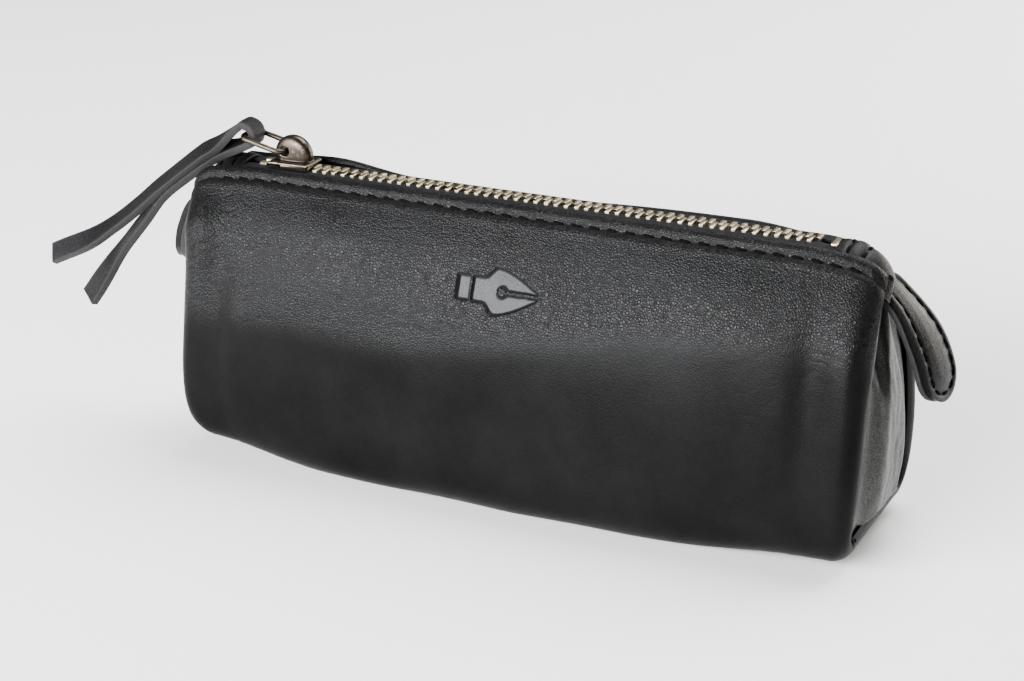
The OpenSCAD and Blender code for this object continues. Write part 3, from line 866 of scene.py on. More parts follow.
@dataclass
class Shell:
    """The folded leather shell: two walls with turned hems, and the debossed nib."""

    form: CaseForm
    finishes: Finishes
    leather_t: float = 1.0
    stitch_in: float = 2.8
    stitch_pitch: float = 5.0
    nib_x: float = 0.2
    nib_z: float = 60.4
    nib_l: float = 25.0
    nib_h: float = 12.6
    nib_depth: float = 0.85
    sheen_z: float = 45.0
    sheen_rise: float = 15.0
    sheen_fade: float = 11.0

    def nib_press(self, x: np.ndarray, up: np.ndarray) -> np.ndarray:
        """Says where the nib motif is pressed in.

        Args:
            x: distances from the motif's middle along the case.
            up: distances from its middle up the wall.

        Returns:
            1 where the leather is pressed flat, 0 where it is not, and between at the walls.
        """
        half, tip = self.nib_h / 2, self.nib_l / 2
        shank = 0.56 * half
        shoulder = -0.1 * tip
        taper = np.clip((x - shoulder) / (tip - shoulder), 0.0, 1.0)
        blade = half * (1 - taper**1.5)
        swell = shank + (half - shank) * smooth_step((x - (shoulder - 3.4)) / 3.4)
        edge = np.where(x > shoulder, blade, swell) - np.abs(up)
        edge = np.minimum(edge * 0.85, x + tip)
        pressed = smooth_step(edge / 0.5)
        slit = smooth_step((0.75 - np.abs(up)) / 0.4) * smooth_step((x - 1.5) / 0.5)
        hole = smooth_step((1.6 - np.hypot(x - 0.6, up)) / 0.4)
        collar = smooth_step((0.6 - np.abs(x + 0.66 * tip)) / 0.35)
        return pressed * (1 - np.maximum(np.maximum(slit, hole), collar))

    def relief(self, x: np.ndarray, around: np.ndarray, z: np.ndarray, side: Side) -> np.ndarray:
        """Returns how far creases, the stitch groove and the hem's fullness move the leather."""
        hem_at = self.form.section().length
        seed = 3.7 if side is Side.FRONT else 11.2
        broad = ripple(x + 0.35 * around, around, 24.0, seed)
        slanted = ripple(x - 1.5 * around, 0.45 * around + 0.2 * x, 9.0, seed + 5)
        short = ripple(x + 1.2 * around, 0.5 * around - 0.3 * x, 5.5, seed + 9)
        corner = smooth_step((np.abs(x - 8.0) - 48.0) / 30.0) * hump(z, 60.0, 18.0)
        foot = hump(z, 10.0, 12.0) * smooth_step((np.abs(x) - 60.0) / 30.0)
        where = 0.2 + 0.8 * np.maximum(corner, 0.6 * foot)
        folds = -0.13 * where * smooth_step(1 - np.abs(slanted) / 0.13)
        lines = -0.06 * where * smooth_step(1 - np.abs(short) / 0.10)
        beat = 0.6 + 0.4 * np.cos(2 * math.pi * x / self.stitch_pitch)
        groove = -0.6 * beat * hump(around, hem_at - self.stitch_in, 0.7)
        full = 0.22 * hump(around, hem_at - 0.9, 0.9) + 0.2 * hump(around, hem_at - 4.9, 1.2)
        calm = smooth_step((hem_at - around) / 9.0) * smooth_step(
            (self.form.half_l - np.abs(x)) / 6)
        return (0.42 * broad + folds + lines) * calm + groove + full

    def make_wall(self, side: Side) -> bpy.types.Object:
        """Makes one wall of the shell, from the base's middle to under the hem."""
        form = self.form
        hem_at = form.section().length
        whole = form.folded_section().length
        end = form.half_l - form.bead_r + form.bead_r * form.bead_turn
        flat = form.half_l - form.bead_r
        front = side is Side.FRONT
        nib_at = float(np.interp(self.nib_z, form.section().points[:, 1], form.section().reach))
        low, high = nib_at - 9.0, nib_at + 9.0
        left, right = self.nib_x - 14.0, self.nib_x + 14.0
        columns = spaced([(-end, -flat, 12), (-flat, left, 70), (left, right, 80 if front else 24),
                          (right, flat, 68), (flat, end, 12)])
        rows = spaced([(0, 16, 8), (16, 38, 18), (38, low, 20), (low, high, 52 if front else 16),
                       (high, hem_at - 6, 6), (hem_at - 6, hem_at, 16), (hem_at, hem_at + 3.2, 8),
                       (hem_at + 3.2, whole, 4)])
        marks: dict[str, np.ndarray] = {}

        def place(u: np.ndarray, v: np.ndarray) -> np.ndarray:
            """Folds the flat sheet into the wall."""
            along = np.interp(u, np.linspace(0, 1, len(columns)), columns)
            around = np.interp(v, np.linspace(0, 1, len(rows)), rows)
            x = form.roll(along)[0]
            z = form.section().at(np.minimum(around, hem_at))[:, 1]
            extra = self.relief(x, around, z, side)
            marks["press"] = np.zeros(len(x))
            # Painted sheen edge: dull rises to 1 below a wavy line near 45 mm up, which climbs by
            # up to 15 mm towards the right end, and cuts the shine there.
            edge = self.sheen_z + 2.0 * ripple(x, 0 * x, 28.0, 4.4)
            edge = edge + self.sheen_rise * smooth_step((x + 40) / 120.0)
            marks["dull"] = 1 - smooth_step((z - edge + 7.0) / self.sheen_fade)
            if front:
                press = self.nib_press(along - self.nib_x, around - nib_at)
                near = (hump(along, self.nib_x, 15.0) * hump(around, nib_at, 9.5)) ** 2
                extra = extra * (1 - 0.75 * near) - self.nib_depth * press
                marks["press"] = press
            return form.wall(along, around, side, extra=extra, folded=True)

        piece = sheet_piece(f"shell_{side.name.lower()}", len(columns) - 1, len(rows) - 1, place)
        for name, values in marks.items():
            stored = piece.data.attributes.new(name, "FLOAT", "POINT")
            stored.data.foreach_set("value", values.astype(np.float32))
        if side is Side.BACK:
            turn_over(piece)
        thicken(piece, self.leather_t)
        soften(piece, 60)
        dress(piece, self.finishes.shell, "shell_leather", "body_wrap")
        follow_opening(piece, form)
        return piece

    def make(self) -> None:
        """Makes both walls."""
        for side in Side:
            self.make_wall(side)


@dataclass
class EndPanels:
    """The set-in leather panels that close the ends, each with a soft middle fold."""

    form: CaseForm
    finishes: Finishes
    edge_in: float = 3.8
    sunk: float = 4.6
    fullness: float = 6.6
    ridge_in: float = 6.4
    ridge_h: float = 1.5
    top_z: float = 72.0
    leather_t: float = 1.1

    def half_width(self, z: np.ndarray, inset: float) -> np.ndarray:
        """Returns how far a panel reaches from its middle line at heights z."""
        line = self.form.section()
        way = line.direction(line.reach)
        inner = line.points - inset * np.stack([way[:, 1], -way[:, 0]], axis=1)
        rising = inner[:, 1] > inner[0, 1] + 0.01
        return np.interp(z, inner[rising, 1], inner[rising, 0])

    def make_panel(self, end: End) -> bpy.types.Object:
        """Makes the panel at one end."""
        seed = 1.3 if end is End.RIGHT else 6.1

        def place(u: np.ndarray, v: np.ndarray) -> np.ndarray:
            """Lays the panel between the rolled edges of the walls."""
            z = self.edge_in + 0.05 + v**1.15 * (self.top_z - self.edge_in)
            across = 2 * u - 1
            half = self.half_width(z, self.edge_in)
            y = across * half
            aside, above = half - np.abs(y), 1.15 * (z - self.edge_in)
            edge = np.minimum(aside, above)
            rise = 0.42 * smooth_step((aside - 1.6) / 3.6)
            rise = rise + 0.58 * smooth_step((aside - 9.0) / 8.0)
            rise = np.minimum(rise, smooth_step((above + 0.5) / 9.0))
            rise = rise * (0.45 + 0.55 * smooth_step((1 - v) / 0.5))
            ridge = self.ridge_h * hump(aside, self.ridge_in, 1.9) * smooth_step((v - 0.12) / 0.3)
            fold = -1.5 * hump(y, -9.5 + 5 * v, 1.7) * smooth_step((v - 0.5) / 0.3)
            other = -0.9 * hump(y, 9.0 - 3 * v, 2.0) * smooth_step((v - 0.6) / 0.3)
            wave = 0.5 * ripple(y * 1.4, z * 0.6, 10.0, seed) + 0.2 * ripple(y * 2.5, z, 5.0, seed)
            x = self.form.half_l - self.sunk + rise * (self.fullness + ridge + wave) + (
                smooth_step(edge / 4.0) * (fold + other))
            return self.form.settle(np.stack([end.value * x, y, z], axis=1))

        piece = sheet_piece(f"end_panel_{end.name.lower()}_leather", 84, 96, place)
        if end is End.LEFT:
            turn_over(piece)
        thicken(piece, self.leather_t)
        soften(piece, 60)
        # The panel finish carries painted warm light: it is the shell leather made lighter and
        # warmer.
        dress(piece, self.finishes.panel, "shell_leather", f"end_panel_{end.name.lower()}")
        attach(piece, "case")
        return piece

    def make(self) -> None:
        """Makes both panels."""
        for end in End:
            self.make_panel(end)


@dataclass
class Lining:
    """The cloth lining: one sheet along each wall and one over each end."""

    form: CaseForm
    finishes: Finishes
    under: float = 3.1
    cloth_t: float = 0.4
    reach: float = 93.5
    end_x: float = 92.8

    def make_wall(self, side: Side) -> bpy.types.Object:
        """Makes the lining of one wall."""
        form = self.form
        top = form.section().length - 1.2

        def place(u: np.ndarray, v: np.ndarray) -> np.ndarray:
            """Lays the cloth a little slack behind the leather."""
            along = (2 * u - 1) * self.reach
            around = v * top
            slack = 0.5 * ripple(along, around, 15.0, 2.2 + side.value)
            extra = slack * smooth_step((1 - v) / 0.2) - 0.3 * v * (1 - v)
            return form.wall(along, around, side, depth=self.under, extra=extra)

        piece = sheet_piece(f"lining_{side.name.lower()}", 130, 66, place)
        if side is Side.BACK:
            turn_over(piece)
        thicken(piece, self.cloth_t)
        soften(piece, 60)
        dress(piece, self.finishes.lining, "lining_cloth", "lining_body")
        follow_opening(piece, form)
        return piece

    def make_end(self, end: End, panels: EndPanels) -> bpy.types.Object:
        """Makes the lining of one end."""
        low, high = self.under + 1.2, panels.top_z + 1.5

        def place(u: np.ndarray, v: np.ndarray) -> np.ndarray:
            """Hangs the cloth flat behind the end panel."""
            z = low + v * (high - low)
            y = (2 * u - 1) * panels.half_width(z, self.under + 0.6)
            slack = 0.5 * ripple(y, z, 14.0, 8.8)
            x = self.end_x - slack * smooth_step((1 - np.abs(2 * u - 1)) / 0.3)
            return self.form.settle(np.stack([end.value * x, y, z], axis=1))

        piece = sheet_piece(f"lining_{end.name.lower()}_end", 44, 52, place)
        if end is End.LEFT:
            turn_over(piece)
        wide = max(read_points(piece)[:, 1]) * 2
        thicken(piece, self.cloth_t)
        soften(piece, 60)
        dress(piece, self.finishes.lining, "lining_cloth", f"lining_end_{end.name.lower()}")
        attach(piece, "case")
        return piece

    def make(self, panels: EndPanels) -> None:
        """Makes the four sheets of the lining."""
        for side in Side:
            self.make_wall(side)
        for end in End:
            self.make_end(end, panels)


# ---------------------------------------------------------------- zip


@dataclass
class Zip:
    """The two tapes, their teeth and the stops."""

    form: CaseForm
    finishes: Finishes
    tape_t: float = 0.6
    tape_in: float = 2.35
    tape_edge: float = 1.3
    tape_flat: float = 4.9
    tape_bend: float = 3.4
    pitch: float = 2.9
    tooth_t: float = 1.25
    tooth_heel: float = 2.9
    tooth_reach: float = 0.9
    tooth_h: float = 2.4

    def tape_line(self) -> Line:
        """Returns the back tape's middle line, from under the hem to its edge by the teeth."""
        form = self.form
        top = form.hem_edge - self.tape_in * form.hem_out
        foot = top - form.hem_band * form.hem_dir
        t = np.linspace(0, 1, 9)[:, None]
        p0, p1 = top, top + 0.9 * form.hem_dir
        p2 = np.array([self.tape_flat + 0.6, form.height])
        p3 = np.array([self.tape_flat, form.height])
        bend = (1 - t) ** 3 * p0 + 3 * t * (1 - t) ** 2 * p1 + 3 * t * t * (1 - t) * p2 + t**3 * p3
        return Line(np.concatenate([[foot], bend, [[self.tape_edge, form.height]]]))

    def end_fall(self, x: np.ndarray | float) -> np.ndarray:
        """Returns how far the zip dips towards its bottom stop, past the slider's run."""
        return 1.0 * smooth_step((x - 79.0) / 11.0)

    def make_tape(self, side: Side) -> bpy.types.Object:
        """Makes one tape."""
        line = self.tape_line()
        low, high = box_mm(f"zip_tape_{side.name.lower()}")

        def place(u: np.ndarray, v: np.ndarray) -> np.ndarray:
            """Bends the tape down under the hem."""
            spot = line.at(v * line.length)
            x = low[0] + u * (high[0] - low[0])
            fall = self.form.drop(x, spot[:, 1], side) * smooth_step(
                (spot[:, 0] - self.tape_flat) / self.tape_bend)
            z = spot[:, 1] - np.maximum(fall, self.end_fall(x))
            return np.stack([x, side.value * spot[:, 0], z], axis=1)

        piece = sheet_piece(f"tape_{side.name.lower()}", 150, 20, place)
        if side is Side.BACK:
            turn_over(piece)
        thicken(piece, self.tape_t, 0.0)
        soften(piece, 60)
        dress(piece, self.finishes.tape, "zip_tape", f"zip_tape_{side.name.lower()}")
        follow_opening(piece, self.form)
        return piece

    def tooth(self, side: Side) -> bpy.types.Object:
        """Models one tooth: jaws at the heel, a waist, and a narrower cupped head."""
        long = self.tooth_heel + self.tooth_reach
        middle = (self.tooth_heel - self.tooth_reach) / 2
        bpy.ops.object.select_all(action="DESELECT")
        bpy.ops.mesh.primitive_cube_add(size=1, location=(0, middle * MM, 0),
                                        scale=(self.tooth_t * MM, long * MM, self.tooth_h * MM))
        piece = bpy.context.object
        seat(piece)
        edit(piece)
        bpy.ops.mesh.bisect(plane_co=(0, 1.2 * MM, 0), plane_no=(0, 1, 0))
        close_edit()
        edit(piece)
        bpy.ops.mesh.bisect(plane_co=(0, 0.1 * MM, 0), plane_no=(0, 1, 0))
        close_edit()
        edit(piece, lambda co: co.y < 0.2 * MM)
        bpy.ops.transform.resize(value=(0.92, 1, 0.86), center_override=(0, 0, 0))
        close_edit()
        edit(piece, lambda co: co.y < -0.5 * MM)
        bpy.ops.mesh.inset(thickness=0.28 * MM, depth=-0.22 * MM)
        close_edit()
        edit(piece, lambda co: co.y > 2.5 * MM)
        bpy.ops.transform.resize(value=(0.94, 1, 0.8), center_override=(0, 0, 0))
        close_edit()
        round_edges(piece, 0.16, 2)
        write_points(piece, read_points(piece) * (1, side.value, 1))
        return piece

    def make_teeth(self, side: Side) -> bpy.types.Object:
        """Sets one row of teeth along its tape."""
        low, high = box_mm(f"zip_teeth_{side.name.lower()}")
        count = round((high[0] - low[0] - self.tooth_t) / self.pitch) + 1
        places = []
        for i in range(count):
            x = low[0] + self.tooth_t / 2 + i * self.pitch
            lean = math.radians(1.8) * math.sin(2.4 * i + side.value)
            lift = 0.05 * math.sin(1.7 * i) - float(self.end_fall(x))
            places.append(Matrix.Translation(Vector((x, 0, self.form.height + lift)) * MM)
                          @ Matrix.Rotation(lean, 4, "Z"))
        piece = repeated(f"teeth_{side.name.lower()}", self.tooth(side), places)
        soften(piece, 35)
        dress(piece, self.finishes.teeth, "zip_brass", f"zip_teeth_{side.name.lower()}")
        follow_opening(piece, self.form)
        return piece

    def make_stops(self) -> None:
        """Makes the rounded metal stops at both ends of the chain."""
        for side in Side:
            node = f"zip_top_stop_{side.name.lower()}"
            piece = cad_copy(node, f"top_stop_{side.name.lower()}")
            round_edges(piece, 0.2)
            soften(piece)
            dress(piece, self.finishes.teeth, "zip_brass", node)
            follow_opening(piece, self.form)
        piece = cad_copy("zip_bottom_stop", "bottom_stop")
        write_points(piece, read_points(piece) - (0, 0, self.end_fall(84.5)))
        round_edges(piece, 0.25)
        soften(piece)
        dress(piece, self.finishes.teeth, "zip_brass", "zip_bottom_stop")
        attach(piece, "case")

    def make(self) -> None:
        """Makes the whole zip."""
        for side in Side:
            self.make_tape(side)
            self.make_teeth(side)
        self.make_stops()


@dataclass
class Slider:
    """The cast slider with its domed bridge, and the wire ring that hangs in it."""

    finishes: Finishes
    plate_t: float = 1.1
    channel: float = 1.35
    rail_t: float = 0.8
    slot: float = 0.45
    nose_w: float = 8.4
    bridge_l: float = 11.4
    bridge_w: float = 5.4
    bridge_h: float = 6.9
    bridge_shift: float = -0.15
    tunnel_r: float = 1.35
    rail_from: float = 4.2
    post_r: float = 0.6
    post_from: float = 1.2
    voxel: float = 0.17

    def block(self, low: tuple[float, ...], high: tuple[float, ...]) -> bpy.types.Object:
        """Adds a plain block between two corners, ready to be shaped."""
        a, b = np.array(low) * MM, np.array(high) * MM
        bpy.ops.object.select_all(action="DESELECT")
        bpy.ops.mesh.primitive_cube_add(size=1, location=tuple((a + b) / 2), scale=tuple(b - a))
        piece = bpy.context.object
        seat(piece)
        return piece

    def narrowed(self, piece: bpy.types.Object, from_x: float, share: float) -> bpy.types.Object:
        """Draws a block's nose end in to a share of its width."""
        edit(piece, lambda co: co.x > from_x * MM)
        bpy.ops.transform.resize(value=(1, share, 1), center_override=(0, 0, 0))
        close_edit()
        return piece

    def make_body(self) -> bpy.types.Object:
        """Makes the slider's casting."""
        low, high = box_mm("slider_body")
        zip_z = low[2] + self.plate_t + self.channel
        half = high[1]
        share = self.nose_w / (2 * half)
        parts = []
        for z in (zip_z + self.channel, zip_z - self.channel - self.plate_t):
            plate = self.block((low[0], -half, z), (high[0], half, z + self.plate_t))
            parts.append(self.narrowed(plate, high[0] - 1, share))
        for plate in parts:
            round_edges(plate, 0.9, 4)
        for side in (-1, 1):
            for a, b in ((self.slot, self.channel + 0.3), (-self.channel - 0.3, -self.slot)):
                y = sorted((side * half * 0.995, side * (half - self.rail_t)))
                rail = self.block((low[0] + self.rail_from, y[0], zip_z + a),
                                  (high[0] - 0.5, y[1], zip_z + b))
                parts.append(self.narrowed(rail, high[0] - 1, share))
        bpy.ops.object.select_all(action="DESELECT")
        bpy.ops.mesh.primitive_cylinder_add(
            vertices=32, radius=self.post_r * MM, depth=2.9 * MM,
            location=((low[0] + self.post_from) * MM, 0, zip_z * MM))
        seat(bpy.context.object)
        parts.append(bpy.context.object)
        parts.append(self.make_bridge(low, high, zip_z + self.channel + self.plate_t))
        piece = joined_pieces("slider_casting", parts)
        modify(piece, "REMESH", mode="VOXEL", voxel_size=self.voxel * MM)
        modify(piece, "SMOOTH", factor=0.5, iterations=5)
        soften(piece, 60)
        dress(piece, self.finishes.slider, "slider_brass", "slider_body")
        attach(piece, "slider")
        return piece

    def make_bridge(self, low: np.ndarray, high: np.ndarray, base_z: float) -> bpy.types.Object:
        """Makes the domed bridge, with a tunnel for the ring's bar."""
        middle = (low[0] + high[0]) / 2 + self.bridge_shift
        centre = Vector((middle, 0, base_z + 1.2)) * MM
        bpy.ops.object.select_all(action="DESELECT")
        bpy.ops.mesh.primitive_uv_sphere_add(segments=40, ring_count=24, radius=1, location=centre,
                                             scale=(self.bridge_l / 2 * MM, self.bridge_w / 2 * MM,
                                                    (self.bridge_h - 1.2) * MM))
        dome = bpy.context.object
        seat(dome)
        edit(dome)
        bpy.ops.mesh.bisect(plane_co=(0, 0, (base_z - 0.3) * MM), plane_no=(0, 0, 1), use_fill=True,
                            clear_inner=True)
        close_edit()
        points = read_points(dome)
        flat = np.sign(points[:, 1]) * (self.bridge_w / 2) * np.abs(
            points[:, 1] / (self.bridge_w / 2)) ** 0.72
        points[:, 1] = flat
        write_points(dome, points)
        eye = joint_place("ring_swing")
        bpy.ops.object.select_all(action="DESELECT")
        bpy.ops.mesh.primitive_cylinder_add(vertices=40, radius=self.tunnel_r * MM, depth=12 * MM,
                                            location=eye * MM, rotation=(math.pi / 2, 0, 0))
        tunnel = bpy.context.object
        seat(tunnel)
        edit(tunnel, lambda co: co.x < (eye[0] - 0.4) * MM)
        bpy.ops.transform.translate(value=(-0.5 * MM, 0, 0))
        close_edit()
        modify(dome, "BOOLEAN", operation="DIFFERENCE", object=tunnel, solver="EXACT")
        bpy.data.objects.remove(tunnel)
        return dome

    def make_ring(self) -> bpy.types.Object:
        """Makes the wire ring, smoothed from its CAD shape."""
        piece = cad_copy("puller_ring", "wire_ring")
        soften(piece, 60)
        dress(piece, self.finishes.slider, "slider_brass", "puller_ring")
        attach(piece, "ring")
        return piece

    def make(self) -> None:
        """Makes the slider and the ring."""
        self.make_body()
        self.make_ring()


def joint_place(name: str) -> Vector:
    """Returns the place of a joint's axis in millimetres."""
    found = next(joint for joint in frame["joints"] if joint["name"] == name)
    return Vector(found["pos_m"]) / MM


# ---------------------------------------------------------------- pull, caps and tabs


@dataclass
class Pull:
    """The doubled leather pull: one strip looped round the ring, with two loose tails."""

    finishes: Finishes
    width: float = 6.4
    leather_t: float = 2.1
    loop_r: float = 2.95
    half_gap: float = 1.12
    leave: float = 30.0
    skew: float = math.radians(4)
    roll: float = math.radians(31)
    upper_twist: float = math.radians(20)
    lower_twist: float = math.radians(30)
    upper_tail: tuple[tuple[float, float], ...] = ((-66.5, -43.4), (-54, -37.5), (-45, -31.5),
                                                  (-36.5, -25))
    lower_tail: tuple[tuple[float, float], ...] = ((-33.5, -27.5), (-39.5, -35), (-46, -43.5),
                                                  (-54.5, -55))
    joined: tuple[tuple[float, float, float], ...] = ((-28.5, -19.5, 39), (-21, -13.3, 37),
                                                     (-14, -8, 33), (-8.6, -4.8, 30))

    def layer(self, side: int) -> list[tuple[float, float]]:
        """Returns the points of the upper (1) or lower (-1) layer where both lie together."""
        return [(x - side * self.half_gap * math.sin(math.radians(a)),
                 z + side * self.half_gap * math.cos(math.radians(a))) for x, z, a in self.joined]

    def route(self) -> Line:
        """Returns the strip's whole line from the upper tail round the ring to the lower tail."""
        turns = [math.radians(90 + self.leave - 30 * i) for i in range(7)]
        loop = [(self.loop_r * math.cos(a), self.loop_r * math.sin(a)) for a in turns]
        points = [*self.upper_tail, *self.layer(1), *loop, *reversed(self.layer(-1)),
                  *self.lower_tail]
        return Line(passing_line(points, 8))

    def make(self) -> bpy.types.Object:
        """Makes the strip, gives it its thickness and rubs its edges."""
        line = self.route()
        bar = joint_place("strap_swing")
        low_end, high_end = 26.0, line.length - 24.0
        share: dict[str, np.ndarray] = {}

        def place(u: np.ndarray, v: np.ndarray) -> np.ndarray:
            """Sweeps the strip's width along its line, with a little twist in the tails."""
            along = u * line.length
            spot, way = line.at(along), line.direction(along)
            out = np.stack([-way[:, 1], way[:, 0]], axis=1)
            across = (2 * v - 1) * self.width / 2
            upper = smooth_step((low_end - along) / 20.0)
            lower = smooth_step((along - high_end) / 20.0)
            joined = smooth_step((np.abs(along - line.length / 2) - 2.0) / 18.0)
            sense = smooth_step((line.length / 2 + 4 - along) / 8.0) * 2 - 1
            twist = sense * self.roll * joined + self.upper_twist * upper - self.lower_twist * lower
            cup = -0.12 * (2 * v - 1) ** 2 + 0.10 * np.sin(along / 5.0) + across * np.sin(twist)
            fan = 0.6 * upper - 0.8 * lower
            flat = spot + out * cup[:, None]
            share["worn"] = smooth_step((np.abs(2 * v - 1) - 0.72) / 0.28)
            y = across * np.cos(twist) + fan
            x = flat[:, 0] * math.cos(self.skew) - y * math.sin(self.skew)
            y = flat[:, 0] * math.sin(self.skew) + y * math.cos(self.skew)
            return np.stack([x + bar[0], y, flat[:, 1] + bar[2]], axis=1)

        piece = sheet_piece("leather_pull", 190, 10, place)
        stored = piece.data.attributes.new("worn", "FLOAT", "POINT")
        stored.data.foreach_set("value", share["worn"].astype(np.float32))
        thicken(piece, self.leather_t, 0.0)
        round_edges(piece, 0.4, 3)
        soften(piece, 50)
        dress(piece, self.finishes.pull, "strap_leather", "pull_strap")
        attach(piece, "strap")
        return piece


@dataclass
class Stitch:
    """One stitch of thick thread, modelled once for each seam and laid along it."""

    length: float = 3.5
    thread: float = 0.85

    def model(self) -> bpy.types.Object:
        """Models a stitch along X on the leather at Z 0, with both ends pulled in."""
        bpy.ops.object.select_all(action="DESELECT")
        bpy.ops.mesh.primitive_uv_sphere_add(segments=10, ring_count=10, radius=1,
                                             rotation=(0, math.pi / 2, 0))
        piece = bpy.context.object
        seat(piece)
        unit = read_points(piece) * MM
        x = np.sign(unit[:, 0]) * np.abs(unit[:, 0]) ** 0.7
        girth = self.thread / 2 * (1 + 0.10 * np.sin(9 * x))
        points = np.stack([x * self.length / 2, unit[:, 1] * girth,
                           unit[:, 2] * girth - 0.42 * x**4], axis=1)
        write_points(piece, points)
        return piece

    def laid(self, name: str, places: list[Matrix]) -> bpy.types.Object:
        """Returns a row of stitches at places."""
        piece = repeated(name, self.model(), places)
        soften(piece, 60)
        return piece


def seat_matrix(at: np.ndarray, along: np.ndarray, out: np.ndarray) -> Matrix:
    """Builds a place for a small piece on a surface.

    Args:
        at: the point in millimetres.
        along: the way that the piece's X takes.
        out: the way that its Z takes, away from the surface.

    Returns:
        The matrix in metres.
    """
    x = Vector(along).normalized()
    z = (Vector(out) - Vector(out).dot(x) * x).normalized()
    turn = Matrix((x, z.cross(x), z)).transposed().to_4x4()
    return Matrix.Translation(Vector(at) * MM) @ turn


@dataclass
class HemStitches:
    """The stitch row of each hem."""

    form: CaseForm
    finishes: Finishes
    stitch_in: float = 2.8
    pitch: float = 5.0
    count: int = 37
    sink: float = 0.3
    slant: float = math.radians(7)

    def make(self) -> None:
        """Lays both rows."""
        around = self.form.section().length - self.stitch_in
        steps = (np.arange(self.count) - (self.count - 1) / 2 + 0.5) * self.pitch
        steps = steps[np.abs(steps) < self.form.half_l - 6]
        for side in Side:
            places = []
            for x in steps:
                turn = 0.6 * math.tan(self.slant)
                along = np.array([x, x + 0.6, x])
                across = np.array([around, around - turn, around + 0.6])
                a, b, c = self.form.wall(along, across, side, depth=self.sink)
                out = np.cross(b - a, c - a) * -side.value
                places.append(seat_matrix(a, b - a, out))
            piece = Stitch().laid(f"hem_stitches_{side.name.lower()}", places)
            dress(piece, self.finishes.thread, "thread", f"topstitch_{side.name.lower()}")
            follow_opening(piece, self.form)


@dataclass
class Caps:
    """The leather caps over the zip's ends, tucked under the hems and stitched across."""

    form: CaseForm
    finishes: Finishes
    half_w: float = 8.0
    dome: float = 2.9
    leather_t: float = 1.3
    rows: tuple[float, ...] = (3.4, 8.2)
    line_points: tuple[tuple[float, float], ...] = ((85.6, 81.6), (88, 81.9), (91.5, 81.3),
                                                   (95.2, 79.4), (98.2, 76.2), (99.8, 72.2),
                                                   (100.3, 67.6))

    def line(self) -> Line:
        """Returns the right cap's outer middle line in X and Z."""
        return Line(passing_line(list(self.line_points), 8))

    def point(self, along: np.ndarray, across: np.ndarray, end: End,
              lift: float = 0.0) -> np.ndarray:
        """Returns points on a cap.

        Args:
            along: distances from the cap's front edge over it.
            across: shares of its half width, from -1 to 1.
            end: which cap.
            lift: how far above the leather the points lie.

        Returns:
            The points, one row each.
        """
        line = self.line()
        spot, way = line.at(along), line.direction(along)
        out = np.stack([-way[:, 1], way[:, 0]], axis=1)
        groove = sum(-0.3 * hump(along, row, 0.65) for row in self.rows)
        seams = groove * smooth_step((0.92 - np.abs(across)) / 0.2)
        puff = 0.25 * hump(along, sum(self.rows) / 2, 1.6) + 0.2 * hump(along, 12.5, 2.5)
        height = lift + seams + puff * (1 - across**2) - self.dome * across**2
        spot = spot + out * height[:, None]
        y = across * self.half_w
        fall = self.form.sag(end.value * spot[:, 0]) * smooth_step((y + 1) / 8.0)
        return np.stack([end.value * spot[:, 0], y, spot[:, 1] - fall], axis=1)

    def make_cap(self, end: End) -> bpy.types.Object:
        """Makes one cap."""
        length = self.line().length

        def place(u: np.ndarray, v: np.ndarray) -> np.ndarray:
            """Bends the cap over the zip's end."""
            return self.point(u * length, 2 * v - 1, end)

        piece = sheet_piece(f"cap_{end.name.lower()}_leather", 90, 44, place)
        if end is End.LEFT:
            turn_over(piece)
        thicken(piece, self.leather_t)
        round_edges(piece, 0.3)
        soften(piece, 60)
        dress(piece, self.finishes.small, "shell_leather", f"cap_{end.name.lower()}")
        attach(piece, "case")
        return piece

    def make_stitches(self, end: End) -> bpy.types.Object:
        """Makes the stitches across one cap."""
        places = []
        for row in self.rows:
            for step in (-0.56, 0.0, 0.56):
                along = np.array([row, row, row + 0.4])
                across = np.array([step, step + 0.08, step])
                a, b, c = self.point(along, across, end)
                out = np.cross(c - a, b - a) * end.value
                places.append(seat_matrix(a, b - a, out))
        piece = Stitch(length=3.6, thread=0.8).laid(f"cap_{end.name.lower()}_seams", places)
        dress(piece, self.finishes.thread, "thread", f"cap_stitches_{end.name.lower()}")
        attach(piece, "case")
        return piece

    def make(self) -> None:
        """Makes both caps and their seams."""
        for end in End:
            self.make_cap(end)
            self.make_stitches(end)


